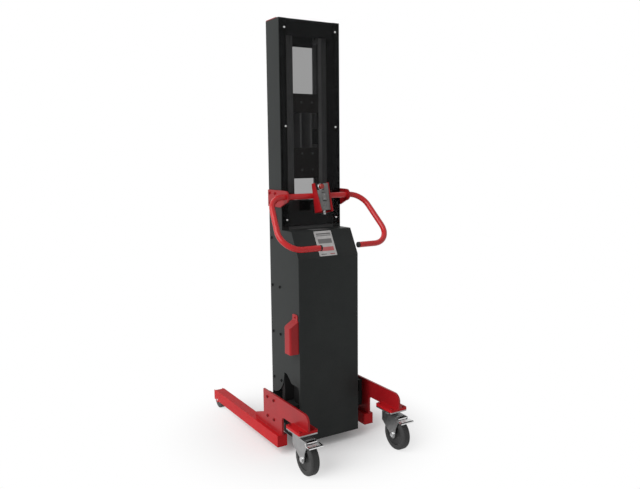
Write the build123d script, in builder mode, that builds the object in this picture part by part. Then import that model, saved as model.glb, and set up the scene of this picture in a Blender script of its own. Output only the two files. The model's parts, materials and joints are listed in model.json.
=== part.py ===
"""Mini stacker: a narrow battery lift with a folded mast, straddle legs and two braked casters.

Frame: +Z up, +Y towards the load, +X to the operator's right.
The origin is on the floor at the middle of the overall box. Millimetres.
"""
import os
from math import atan2, cos, radians, sin

from build123d import *

# Driving sizes of the mast
mast_width = 270.0
mast_depth = 104.0
mast_top = 1663.0
mast_sheet = 3.0
upright_flange = 31.0
upright_front_flange = 51.0
upright_foot_radius = 100.0
upright_foot_gap = 19.0
upright_lip_drop = 70.0
top_cap_thickness = 3.0
top_cap_rear_inset = 22.0
head_front_drop = 86.0
head_rear_drop = 63.0

# Guide rails inside the mast
rail_half_gap = 61.0
rail_flange = 30.0
rail_depth = 60.0
rail_wall = 4.0
rail_rear_offset = 27.0
rail_bracket_first = 247.0
rail_bracket_pitch = 192.0
rail_bracket_rows = 4
rail_bracket_height = 20.0
rail_bracket_margin = 7.0
rail_bolt_grip = 16.0
rail_bolt_spacing = 62.0

# Rear cabinet, its tray and the plate that closes the mast behind it
cabinet_depth = 129.0
cabinet_bottom = 37.0
cabinet_top = 860.0
cabinet_flat = 75.0
cabinet_slope_foot = 759.0
cabinet_sheet = 2.0
cabinet_corner = 3.0
cabinet_slot_high = 288.0
cabinet_slot_low = 257.0
cabinet_slot_peak = 22.0
cabinet_slot_bend = 60.0
cabinet_slot_rim = 10.0
cabinet_slot_corner = 18.0
cabinet_screw_rear = -100.0
cabinet_screw_front = -30.0
cabinet_screw_rise = 17.0
tray_sheet = 6.0
tray_lip = 26.0
back_plate_foot_gap = 4.0
back_plate_rise = 115.0

# Guard behind the mast
guard_thickness = 4.0
guard_side_margin = 3.0
guard_foot_gap = 12.0
guard_head_margin = 5.0
guard_corner = 6.0
guard_screw_x = 113.0
guard_screw_foot_margin = 27.0
guard_screw_head_margin = 36.0
guard_screw_middle_drop = 3.0

# Chassis arms, side plates and legs
track_half = 204.0
arm_depth = 88.0
arm_height = 60.0
arm_plate_height = 108.0
arm_bottom = 106.0
arm_wall = 5.0
arm_end_cap = 14.0
side_plate_thickness = 8.0
side_plate_top = 223.0
side_plate_front = 45.0
side_plate_rear = -311.0
side_plate_corner = 30.0
tongue_front = 118.0
tongue_rear = -110.0
tongue_high = 126.0
tongue_low = 101.0
arch_corner = 16.0
side_bolt_spacing_y = 54.0
side_bolt_spacing_z = 78.0
side_bolt_grip = 8.0
leg_width = 42.0
leg_height = 46.0
leg_wall = 3.0
leg_bottom = 33.0
leg_rear = -105.0
leg_front = 525.0
leg_top_web_front = 508.0

# Load rollers in the leg tips
load_roller_diameter = 75.0
load_roller_width = 30.0
load_roller_corner = 3.0
roller_bay_gap = 3.0
load_axle_diameter = 10.0
load_axle_stand = 1.0
load_roller_overhang = 4.5
axle_lug_radius = 12.0

# Casters
caster_y = -258.0
caster_plate_x = 80.0
caster_plate_y = 100.0
caster_plate_thickness = 5.0
caster_plate_corner = 6.0
caster_flange_thickness = 10.0
caster_height = 155.0
caster_bolt_x = 60.0
caster_bolt_y = 80.0
caster_bolt_end = 4.0
caster_wheel_diameter = 125.0
caster_wheel_width = 36.0
tyre_corner = 8.0
tyre_height = 20.0
wheel_dish_depth = 6.0
wheel_hub_radius = 12.0
caster_trail = 40.0
caster_fork_gap = 40.0
caster_fork_wall = 4.0
fork_foot_radius = 15.0
fork_shoulder = 30.0
fork_waist_back = 20.0
fork_waist_rise = 30.0
fork_crown_start = 12.0
caster_crown_thickness = 6.0
caster_head_radius = 28.0
caster_head_height = 12.0
caster_axle_diameter = 12.0
caster_nut_radius = 9.6
caster_nut_height = 6.0
kingpin_diameter = 12.0
pedal_pivot_back = 66.0
pedal_pivot_height = 128.0
pedal_pin_diameter = 8.0
pedal_lug_back = 8.0
pedal_lug_drop = 10.0
pedal_gap = 2.0
pedal_reach = 104.0
pedal_width = 60.0
pedal_thickness = 4.0
pedal_drop = 3.0

# Handle and its brackets
handle_diameter = 22.0
handle_wall = 2.5
handle_bar_y = -44.0
handle_bar_z = 991.0
handle_bar_half = 208.0
grip_y = -206.0
grip_z = 809.0
grip_corner_half = 247.0
grip_end_half = 88.0
handle_upper_radius = 68.0
handle_lower_radius = 74.0
grip_cap_length = 8.0
grip_cap_corner = 2.0
handle_bracket_thickness = 6.0
handle_bracket_end_radius = 23.0
handle_bracket_low = 949.0
handle_bracket_high = 1015.0
handle_bolt_front = 88.0
handle_bolt_rear = 44.0
handle_bolt_top_margin = 13.0
handle_bolt_foot_margin = 13.0
handle_bolt_grip = 16.0

# Control station on the handle bar
station_width = 60.0
station_sheet = 4.0
station_height = 115.0
station_depth = 52.0
station_tilt = 12.0
station_shift = 6.5
station_left_cut = 31.0
station_right_cut = 22.0
station_right_trim = 10.0
station_panel_recess = 22.0
stop_diameter = 20.0
stop_height = 12.0
stop_stem_diameter = 10.0
stop_travel = 4.0
stop_seat = 14.0
stop_gap = 0.5
stop_corner = 3.0
stop_x = -9.0
stop_top_margin = 4.0
rocker_width = 16.0
rocker_length = 30.0
rocker_sink = 3.0
rocker_stand = 5.0
rocker_room = 4.0
rocker_end_gap = 1.0
rocker_pin_diameter = 4.0
rocker_pin_grip = 4.0
rocker_x = 2.0
rocker_rise = 2.0
key_barrel_diameter = 12.0
key_collar = 2.0
key_collar_height = 3.0
key_blade = 2.5
key_reach = 4.0
key_seat = 10.0
key_drop = 27.0
box_foot_gap = 6.0
box_rise = -3.0
gland_diameter = 12.0
gland_length = 16.0
gland_inset = 9.0
gland_nut_radius = 8.0

# Lift belt and its pulleys
belt_x = 49.0
belt_width = 14.0
belt_thickness = 2.5
belt_side_gap = 0.2
pulley_radius = 17.0
pulley_y = 28.0
pulley_flange = 1.3
pulley_flange_rise = 1.5
idler_drop = 63.0
drive_z = 85.0
idler_shaft_diameter = 10.0
idler_bracket_sheet = 3.0
idler_bracket_depth = 30.0
drive_shaft_diameter = 12.0
drive_shaft_seat = 30.0
drive_shaft_end_gap = 2.0

# Carriage, raised as in use
carriage_bottom = 1058.0
carriage_height = 330.0
cheek_centre_x = 24.0
cheek_thickness = 8.0
cross_plate_half = 58.0
cross_plate_thickness = 6.0
cross_plate_rear = 30.0
lower_cross_height = 121.0
upper_cross_height = 73.0
load_plate_width = 220.0
load_plate_thickness = 8.0
load_plate_corner = 8.0
load_plate_gap = 4.0
load_plate_holes_x = 120.0
load_plate_holes_z = 240.0
load_plate_hole_diameter = 11.0
load_plate_slot_width = 12.0
load_plate_slot_length = 90.0
load_plate_slot_spacing = 60.0
carriage_roller_width = 20.0
carriage_roller_corner = 2.0
roller_side_gap = 1.5
carriage_pin_diameter = 16.0
carriage_pin_end = 1.0
carriage_pin_head_rise = 3.0
carriage_pin_head = 4.0
lower_pin_level = 52.0
upper_pin_level = 277.0
lower_bolt_level = 34.0
middle_bolt_level = 98.0
upper_bolt_level = 297.0
carriage_bolt_grip = 12.0
carriage_bolt_depth = 18.0
clamp_height = 60.0
clamp_jaw = 6.0

# Drive and power inside the cabinet
gearbox_width = 81.0
gearbox_front = 70.0
gearbox_rear = -104.0
gearbox_height = 84.0
gearbox_corner = 6.0
gearbox_gap = 4.5
motor_diameter = 80.0
motor_length = 200.0
motor_y = -62.0
battery_width = 52.0
battery_depth = 105.0
battery_height = 170.0
battery_corner = 4.0
battery_side_gap = 30.0
battery_rear_gap = 3.0
controller_width = 140.0
controller_depth = 45.0
controller_height = 120.0
controller_bottom = 620.0
controller_corner = 5.0
limit_box_width = 56.0
limit_box_depth = 18.0
limit_box_height = 70.0
limit_box_corner = 4.0
limit_window_height = 40.0
limit_window_margin = 3.0

# Trim on the cabinet
label_width = 79.0
label_height = 104.0
label_thickness = 1.0
label_corner = 3.0
hood_reach = 38.0
hood_rear = -122.0
hood_width = 48.0
hood_bottom = 393.0
hood_outer_height = 104.0
hood_wall_height = 128.0
hood_tab_height = 152.0
hood_tab_margin = 4.0
hood_tab_corner = 10.0
hood_wall = 3.0
hood_corner = 8.0
socket_diameter = 30.0
socket_wall = 5.0
socket_stand = 12.6
socket_mouth = 6.3
socket_drop = 20.0

# Fasteners
panel_screw = 6.0
panel_head = 8.0
panel_head_height = 2.5
panel_screw_end = 3.0
frame_bolt = 8.0
frame_head = 12.0
frame_head_height = 4.0
carriage_bolt = 6.0
carriage_head = 10.0
carriage_head_height = 4.0

# Clearances, and how far a cut runs past the face that it opens
hole_clearance = 0.4
running_clearance = 0.05
seat_clearance = 0.02
side_clearance = 0.3
belt_clearance = 0.3
clamp_clearance = 0.6
overrun = 1.0

# Places that follow from the sizes above; lengths along Y count from the mast's rear face
caster_wheel_radius = caster_wheel_diameter / 2
load_roller_radius = load_roller_diameter / 2
rear_reach = caster_y - max(caster_trail + caster_wheel_radius, pedal_reach)
load_roller_y = leg_front + load_roller_overhang - load_roller_radius
front_reach = load_roller_y + load_roller_radius
mast_y = -(front_reach + rear_reach) / 2
half_width = mast_width / 2
web_inner = half_width - mast_sheet
rail_outer = rail_half_gap + rail_flange
rail_front = rail_rear_offset + rail_depth
tray_top = cabinet_bottom + tray_sheet
back_plate_top = cabinet_top + back_plate_rise
guard_foot = cabinet_top + guard_foot_gap
arm_front = rail_rear_offset
arm_rear = arm_front - arm_depth
arm_top = arm_bottom + arm_height
back_plate_bottom = arm_top + back_plate_foot_gap
arm_outer = track_half - side_plate_thickness / 2
arm_plate_top = arm_bottom + arm_plate_height
upright_foot = arm_top + upright_foot_gap
leg_top = leg_bottom + leg_height
flange_top = caster_height + caster_flange_thickness
flange_front = caster_y + caster_plate_y / 2
cheek_inner = cheek_centre_x - cheek_thickness / 2
cheek_outer = cheek_centre_x + cheek_thickness / 2
load_plate_rear = mast_depth + load_plate_gap
carriage_roller_radius = (rail_depth - 2 * rail_wall) / 2 - side_clearance
carriage_roller_y = rail_rear_offset + rail_depth / 2
roller_inner = rail_outer - rail_wall - roller_side_gap - carriage_roller_width
belt_inner = pulley_radius + belt_clearance
belt_outer = belt_inner + belt_thickness
idler_z = mast_top - idler_drop
pulley_half = belt_width / 2 + belt_side_gap + pulley_flange
gearbox_right = belt_x - pulley_half - gearbox_gap
panel_hole = (panel_screw + hole_clearance) / 2
bolt_hole = (frame_bolt + hole_clearance) / 2

os.makedirs("parts", exist_ok=True)


def finish(piece, label):
    """Name a finished piece and write it out."""
    piece.part.label = label
    export_step(piece.part, f"parts/{label}.step")


def yz(x=0.0):
    """Sketch plane at a given X, with its own x along +Y and y along +Z from the mast's rear face."""
    return Plane(origin=(x, mast_y, 0), x_dir=(0, 1, 0), z_dir=(1, 0, 0))


def xz(y=0.0):
    """Sketch plane at a distance from the mast's rear face, with its normal towards +Y."""
    return Plane(origin=(0, mast_y + y, 0), x_dir=(-1, 0, 0), z_dir=(0, 1, 0))


def xy(z=0.0):
    """Level sketch plane at a height, with its origin under the mast's rear face."""
    return Plane(origin=(0, mast_y, z))


def box_span(x_span, y_span, z_span, mode=Mode.ADD):
    """Add a block between the given limits, with Y counted from the mast's rear face."""
    middle = [(low + high) / 2 for low, high in (x_span, y_span, z_span)]
    size = [high - low for low, high in (x_span, y_span, z_span)]
    with Locations((middle[0], mast_y + middle[1], middle[2])):
        Box(*size, mode=mode)


def rod(plane, points, radius, length, mode=Mode.ADD):
    """Add or cut round bars that start on a plane and run along its normal."""
    with BuildSketch(plane) as discs:
        with Locations(*points):
            Circle(radius)
    extrude(discs.sketch, amount=length, mode=mode)


def bolt_set(plane, points, size, shank_length, outward=1):
    """Add bolts whose heads stand out of a plane and whose shanks run back from it."""
    shank, head, head_height = size
    rod(plane, points, head / 2, outward * head_height)
    rod(plane, points, shank / 2, -outward * shank_length)


# Fastener positions
guard_screw_foot = guard_foot + guard_screw_foot_margin
guard_screw_head = mast_top - guard_screw_head_margin
guard_screw_middle = (guard_screw_foot + guard_screw_head) / 2 - guard_screw_middle_drop
guard_screw_levels = (guard_screw_foot, guard_screw_middle, guard_screw_head)
screw_points = [(s * guard_screw_x, z) for s in (-1, 1) for z in guard_screw_levels]
rail_bracket_levels = [rail_bracket_first + i * rail_bracket_pitch for i in range(rail_bracket_rows)]
rail_bolt_y = [carriage_roller_y + s * rail_bolt_spacing / 2 for s in (-1, 1)]
rail_bolt_points = [(y, z) for z in rail_bracket_levels for y in rail_bolt_y]
arm_centre = ((arm_front + arm_rear) / 2, (arm_bottom + arm_plate_top) / 2)
side_bolt_points = [
    (arm_centre[0] + i * side_bolt_spacing_y / 2, arm_centre[1] + k * side_bolt_spacing_z / 2)
    for i in (-1, 1) for k in (-1, 1)
]
caster_bolt_points = [
    (s * track_half + i * caster_bolt_x / 2, caster_y + k * caster_bolt_y / 2)
    for s in (-1, 1) for i in (-1, 1) for k in (-1, 1)
]
cabinet_screw_level = cabinet_bottom + cabinet_screw_rise
cabinet_screw_points = [(y, cabinet_screw_level) for y in (cabinet_screw_rear, cabinet_screw_front)]
handle_bolt_top = handle_bracket_high - handle_bolt_top_margin
handle_bolt_points = [
    (handle_bolt_front, handle_bolt_top), (handle_bolt_rear, handle_bolt_top),
    (handle_bolt_front, handle_bracket_low + handle_bolt_foot_margin),
]

# Uprights: folded channels with a rounded foot behind, whose front flange runs on below it
for side, name in ((-1, "left_upright"), (1, "right_upright")):
    with BuildPart() as upright:
        outer = sorted((side * web_inner, side * half_width))
        rear_lip = sorted((side * (half_width - upright_flange), side * half_width))
        front_lip = sorted((side * (half_width - upright_front_flange), side * half_width))
        span_z = (upright_foot, mast_top)
        box_span(outer, (0, mast_depth), span_z)
        box_span(rear_lip, (0, mast_sheet), span_z)
        lip_z = (upright_foot - upright_lip_drop, mast_top)
        box_span(front_lip, (mast_depth - mast_sheet, mast_depth), lip_z)
        corner = upright_foot + upright_foot_radius
        with BuildSketch(yz(-half_width - overrun)):
            with Locations((upright_foot_radius / 2 - overrun, corner - upright_foot_radius / 2 - overrun)):
                Rectangle(upright_foot_radius + 2 * overrun, upright_foot_radius + 2 * overrun)
            with Locations((upright_foot_radius, corner)):
                Circle(upright_foot_radius, mode=Mode.SUBTRACT)
        extrude(amount=mast_width + 2 * overrun, mode=Mode.SUBTRACT)
        rod(xz(-overrun), screw_points, panel_hole, mast_sheet + 2 * overrun, Mode.SUBTRACT)
        side_holes = rail_bolt_points + handle_bolt_points
        rod(yz(outer[0] - overrun), side_holes, bolt_hole, mast_sheet + 2 * overrun, Mode.SUBTRACT)
    finish(upright, name)

# Guide rails: channels that open towards each other, standing on the tray
with BuildPart() as guide_rails:
    for side in (-1, 1):
        span_z = (tray_top, mast_top - mast_sheet)
        across = sorted((side * rail_half_gap, side * rail_outer))
        hollow = sorted((side * (rail_half_gap - overrun), side * (rail_outer - rail_wall)))
        box_span(across, (rail_rear_offset, rail_front), span_z)
        inside = (rail_rear_offset + rail_wall, rail_front - rail_wall)
        box_span(hollow, inside, span_z, Mode.SUBTRACT)
finish(guide_rails, "guide_rails")

# Spacer bars that hold the rails inside the uprights
with BuildPart() as rail_brackets:
    bar_reach = rail_bolt_spacing / 2 + rail_bracket_margin
    for side in (-1, 1):
        across = sorted((side * rail_outer, side * web_inner))
        for level in rail_bracket_levels:
            height = (level - rail_bracket_height / 2, level + rail_bracket_height / 2)
            box_span(across, (carriage_roller_y - bar_reach, carriage_roller_y + bar_reach), height)
        bolt_cut = -side * (rail_bolt_grip + overrun)
        rod(yz(side * web_inner), rail_bolt_points, bolt_hole, bolt_cut, Mode.SUBTRACT)
finish(rail_brackets, "rail_brackets")

# Head channel that ties the uprights together, and the coloured cap on it
with BuildPart() as mast_head:
    across = (-web_inner, web_inner)
    inner_y = (mast_sheet, mast_depth - mast_sheet)
    box_span(across, inner_y, (mast_top - mast_sheet, mast_top))
    box_span(across, (inner_y[1] - mast_sheet, inner_y[1]), (mast_top - head_front_drop, mast_top))
    box_span(across, (inner_y[0], inner_y[0] + mast_sheet), (mast_top - head_rear_drop, mast_top))
    rod(xz(mast_sheet - overrun), screw_points, panel_hole, mast_sheet + 2 * overrun, Mode.SUBTRACT)
finish(mast_head, "mast_head")

with BuildPart() as top_cap:
    cap_y = (top_cap_rear_inset, mast_depth)
    box_span((-half_width, half_width), cap_y, (mast_top, mast_top + top_cap_thickness))
    fillet(top_cap.edges().filter_by(Axis.Z), top_cap_thickness)
finish(top_cap, "top_cap")

# Plate that closes the lower mast behind, and the limit switch box on it
with BuildPart() as back_plate:
    box_span((-web_inner, web_inner), (mast_sheet, 2 * mast_sheet), (back_plate_bottom, back_plate_top))
    window_x = (limit_window_margin - limit_box_width, -limit_window_margin)
    window_top = back_plate_top - limit_window_margin
    window_z = (window_top - limit_window_height, window_top)
    box_span(window_x, (0, 3 * mast_sheet), window_z, Mode.SUBTRACT)
    rod(xz(mast_sheet - overrun), screw_points, panel_hole, mast_sheet + 2 * overrun, Mode.SUBTRACT)
finish(back_plate, "mast_back_plate")

with BuildPart() as limit_box:
    depth = (2 * mast_sheet, 2 * mast_sheet + limit_box_depth)
    box_span((-limit_box_width, 0), depth, (back_plate_top - limit_box_height, back_plate_top))
    fillet(limit_box.edges().filter_by(Axis.Y), limit_box_corner)
finish(limit_box, "limit_switch_box")

# Clear guard behind the mast
with BuildPart() as rear_guard:
    guard_half = half_width - guard_side_margin
    box_span((-guard_half, guard_half), (-guard_thickness, 0), (guard_foot, mast_top - guard_head_margin))
    fillet(rear_guard.edges().filter_by(Axis.Y), guard_corner)
    guard_cut = guard_thickness + 2 * overrun
    rod(xz(-guard_thickness - overrun), screw_points, panel_hole, guard_cut, Mode.SUBTRACT)
finish(rear_guard, "rear_guard")

# Tray under the cabinet, which also carries the rails
with BuildPart() as base_tray:
    tray_half = half_width - cabinet_sheet
    tray_rear = -cabinet_depth + cabinet_sheet
    box_span((-tray_half, tray_half), (tray_rear, mast_depth - mast_sheet), (cabinet_bottom, tray_top))
    for side in (-1, 1):
        lip = sorted((side * tray_half, side * (tray_half - mast_sheet)))
        box_span(lip, (tray_rear, 0), (cabinet_bottom, tray_top + tray_lip))
        rod(yz(lip[0] - overrun), cabinet_screw_points, panel_hole, mast_sheet + 2 * overrun, Mode.SUBTRACT)
finish(base_tray, "base_tray")

# Cabinet: one folded cover, open towards the mast and below
with BuildPart() as cabinet:
    slope_run = cabinet_depth - cabinet_flat
    slope_rise = cabinet_top - cabinet_slope_foot
    slope_angle = atan2(slope_rise, slope_run)
    with BuildSketch(yz(-half_width)):
        with BuildLine():
            Polyline(
                (0, cabinet_bottom), (-cabinet_depth, cabinet_bottom), (-cabinet_depth, cabinet_slope_foot),
                (-cabinet_flat, cabinet_top), (0, cabinet_top), close=True,
            )
        make_face()
    extrude(amount=mast_width)
    fillet(cabinet.edges().filter_by(Axis.Z).group_by(Axis.Y)[0], cabinet_corner)
    inner_top = cabinet_top - cabinet_sheet
    inner_rear = cabinet_depth - cabinet_sheet
    fold = cabinet_sheet / sin(slope_angle) - cabinet_sheet / sin(slope_angle) * cos(slope_angle)
    inner_flat = cabinet_flat - fold
    inner_foot = inner_top - (inner_rear - inner_flat) * slope_rise / slope_run
    with BuildSketch(yz(-half_width + cabinet_sheet)):
        with BuildLine():
            Polyline(
                (overrun, cabinet_bottom - overrun), (-inner_rear, cabinet_bottom - overrun),
                (-inner_rear, inner_foot), (-inner_flat, inner_top), (overrun, inner_top), close=True,
            )
        make_face()
    extrude(amount=mast_width - 2 * cabinet_sheet, mode=Mode.SUBTRACT)
    slot_foot = arm_bottom - cabinet_sheet
    slot_back = -cabinet_depth + cabinet_slot_rim
    with BuildSketch(yz(-half_width - overrun)) as slot_outline:
        with BuildLine():
            Polyline(
                (overrun, slot_foot), (slot_back, slot_foot), (slot_back, cabinet_slot_low),
                (-cabinet_slot_bend, cabinet_slot_low), (-cabinet_slot_peak, cabinet_slot_high),
                (overrun, cabinet_slot_high), close=True,
            )
        make_face()
        slot_vertex = slot_outline.vertices().sort_by_distance((slot_back, cabinet_slot_low))[0]
        fillet(slot_vertex, cabinet_slot_corner)
    extrude(amount=mast_width + 2 * overrun, mode=Mode.SUBTRACT)
    for side in (-1, 1):
        screw_cut = -side * (cabinet_sheet + 2 * overrun)
        rod(yz(side * (half_width + overrun)), cabinet_screw_points, panel_hole, screw_cut, Mode.SUBTRACT)
finish(cabinet, "rear_cabinet")

# Bare plate on the cabinet's slope
slope_middle = (-(cabinet_flat + cabinet_depth) / 2, (cabinet_top + cabinet_slope_foot) / 2)
slope_plane = Plane(
    origin=(0, mast_y + slope_middle[0], slope_middle[1]), x_dir=(1, 0, 0),
    z_dir=(0, -sin(slope_angle), cos(slope_angle)),
)
with BuildPart() as label_plate:
    with BuildSketch(slope_plane):
        RectangleRounded(label_width, label_height, label_corner)
    extrude(amount=label_thickness)
finish(label_plate, "label_plate")

# Hood on the cabinet's left side, open below, with the charging socket inside
with BuildPart() as hood:
    hood_corner_point = (-half_width, mast_y + hood_rear, hood_bottom)
    hood_plane = Plane(origin=hood_corner_point, x_dir=(-1, 0, 0), z_dir=(0, 1, 0))
    with BuildSketch(hood_plane):
        with BuildLine():
            Polyline(
                (0, 0), (hood_reach, 0), (hood_reach, hood_outer_height), (0, hood_wall_height), close=True,
            )
        make_face()
    extrude(amount=hood_width)
    fillet(hood.edges().filter_by(Axis.Z).group_by(Axis.X)[0], hood_corner)
    roof = atan2(hood_wall_height - hood_outer_height, hood_reach)
    drop = hood_wall / cos(roof)
    inner_reach = hood_reach - hood_wall
    rise = (hood_wall_height - hood_outer_height) / hood_reach
    with BuildSketch(hood_plane.offset(hood_wall)):
        with BuildLine():
            Polyline(
                (hood_wall, -overrun), (inner_reach, -overrun),
                (inner_reach, hood_wall_height - rise * inner_reach - drop),
                (hood_wall, hood_wall_height - rise * hood_wall - drop), close=True,
            )
        make_face()
    extrude(amount=hood_width - 2 * hood_wall, mode=Mode.SUBTRACT)
    tab_middle = hood_rear + hood_width / 2
    tab_width = hood_width - 2 * hood_tab_margin
    with BuildSketch(yz(-half_width)) as tab:
        with Locations((tab_middle, hood_bottom + (hood_outer_height + hood_tab_height) / 2)):
            Rectangle(tab_width, hood_tab_height - hood_outer_height)
        fillet(tab.vertices().group_by(Axis.Z)[-1], hood_tab_corner)
    extrude(amount=-hood_wall)
finish(hood, "socket_hood")

with BuildPart() as socket:
    socket_z = hood_bottom + hood_outer_height - socket_drop
    socket_y = hood_rear + hood_width / 2
    seat_point = (-half_width - hood_wall, mast_y + socket_y, socket_z)
    seat = Plane(origin=seat_point, x_dir=(0, 1, 0), z_dir=(-1, 0, 0))
    with BuildSketch(seat):
        Circle(socket_diameter / 2)
    extrude(amount=socket_stand)
    with BuildSketch(seat.offset(socket_stand)):
        Circle(socket_diameter / 2 - socket_wall)
    extrude(amount=-socket_mouth, mode=Mode.SUBTRACT)
finish(socket, "charging_socket")

# Chassis arms between the rails and the side plates
with BuildPart() as arms:
    for side in (-1, 1):
        along = sorted((side * rail_half_gap, side * arm_outer))
        box_span(along, (arm_rear, arm_front), (arm_bottom, arm_top))
        hollow = sorted((side * (rail_half_gap - overrun), side * (arm_outer - arm_end_cap)))
        inside_y = (arm_rear + arm_wall, arm_front - arm_wall)
        box_span(hollow, inside_y, (arm_bottom + arm_wall, arm_top - arm_wall), Mode.SUBTRACT)
        end_plate = sorted((side * (arm_outer - arm_end_cap), side * arm_outer))
        box_span(end_plate, (arm_rear, arm_front), (arm_bottom, arm_plate_top))
        rod(yz(side * arm_outer), side_bolt_points, bolt_hole, -side * arm_end_cap, Mode.SUBTRACT)
finish(arms, "chassis_arms")

# Side plates, welded on the legs and the caster flanges
with BuildPart() as side_plates:
    for side in (-1, 1):
        with BuildSketch(yz(side * track_half)) as outline:
            with BuildLine():
                Polyline(
                    (side_plate_front, side_plate_top), (side_plate_front, tongue_high),
                    (tongue_front, tongue_low), (tongue_front, leg_top), (tongue_rear, leg_top),
                    (tongue_rear, caster_height), (flange_front, caster_height),
                    (flange_front, flange_top), (side_plate_rear, flange_top),
                    (side_plate_rear, side_plate_top), close=True,
                )
            make_face()
            rear_corner = outline.vertices().sort_by_distance((side_plate_rear, side_plate_top))[0]
            fillet(rear_corner, side_plate_corner)
            arch_vertex = outline.vertices().sort_by_distance((tongue_rear, caster_height))[0]
            fillet(arch_vertex, arch_corner)
            with Locations(*side_bolt_points):
                Circle(bolt_hole, mode=Mode.SUBTRACT)
        extrude(amount=side_plate_thickness / 2, both=True)
finish(side_plates, "side_plates")

# Flanges that the casters bolt to
with BuildPart() as flanges:
    for side in (-1, 1):
        with BuildSketch(xy(caster_height)):
            with Locations((side * track_half, caster_y)):
                RectangleRounded(caster_plate_x, caster_plate_y, caster_plate_corner)
            with Locations(*caster_bolt_points):
                Circle(bolt_hole, mode=Mode.SUBTRACT)
        extrude(amount=caster_flange_thickness)
finish(flanges, "caster_flanges")

# Legs: rectangular tubes, open below at the tip for the load roller
for side, name in ((-1, "left_leg"), (1, "right_leg")):
    with BuildPart() as leg:
        half = leg_width / 2
        across = (side * track_half - half, side * track_half + half)
        inside = (across[0] + leg_wall, across[1] - leg_wall)
        box_span(across, (leg_rear, leg_front), (leg_bottom, leg_top))
        tip = leg_front + overrun
        ceiling = leg_top - leg_wall
        box_span(inside, (leg_rear + leg_wall, tip), (leg_bottom + leg_wall, ceiling), Mode.SUBTRACT)
        roller_bay = load_roller_y - load_roller_radius - roller_bay_gap
        box_span(inside, (roller_bay, tip), (leg_bottom - overrun, ceiling), Mode.SUBTRACT)
        box_span(across, (leg_top_web_front, tip), (ceiling, leg_top + overrun), Mode.SUBTRACT)
        for face in (across[0], inside[1]):
            with BuildSketch(yz(face)):
                with Locations((load_roller_y, load_roller_radius)):
                    Circle(axle_lug_radius)
            extrude(amount=leg_wall)
        axle_hole = load_axle_diameter / 2 + seat_clearance
        axle_cut = leg_width + 2 * overrun
        axle_point = (load_roller_y, load_roller_radius)
        rod(yz(across[0] - overrun), [axle_point], axle_hole, axle_cut, Mode.SUBTRACT)
    finish(leg, name)

with BuildPart() as load_axles:
    for side in (-1, 1):
        start = side * track_half - leg_width / 2 - load_axle_stand
        axle_length = leg_width + 2 * load_axle_stand
        rod(yz(start), [(load_roller_y, load_roller_radius)], load_axle_diameter / 2, axle_length)
finish(load_axles, "load_roller_axles")

for side, name in ((-1, "left_load_roller"), (1, "right_load_roller")):
    with BuildPart() as load_roller:
        start = side * track_half - load_roller_width / 2
        centre = [(load_roller_y, load_roller_radius)]
        rod(yz(start), centre, load_roller_radius, load_roller_width)
        fillet(load_roller.edges().filter_by(GeomType.CIRCLE), load_roller_corner)
        bore = load_axle_diameter / 2 + running_clearance
        rod(yz(start - overrun), centre, bore, load_roller_width + 2 * overrun, Mode.SUBTRACT)
    finish(load_roller, name)

# Caster top plates with their kingpins
crown_top = caster_height - caster_plate_thickness - side_clearance - caster_head_height
crown_bottom = crown_top - caster_crown_thickness
with BuildPart() as caster_plates:
    for side in (-1, 1):
        with BuildSketch(xy(caster_height - caster_plate_thickness)):
            with Locations((side * track_half, caster_y)):
                RectangleRounded(caster_plate_x, caster_plate_y, caster_plate_corner)
            with Locations(*caster_bolt_points):
                Circle(bolt_hole, mode=Mode.SUBTRACT)
        extrude(amount=caster_plate_thickness)
        with BuildSketch(xy(crown_bottom)):
            with Locations((side * track_half, caster_y)):
                Circle(kingpin_diameter / 2)
        extrude(amount=caster_height - caster_plate_thickness - crown_bottom)
finish(caster_plates, "caster_top_plates")

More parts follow.
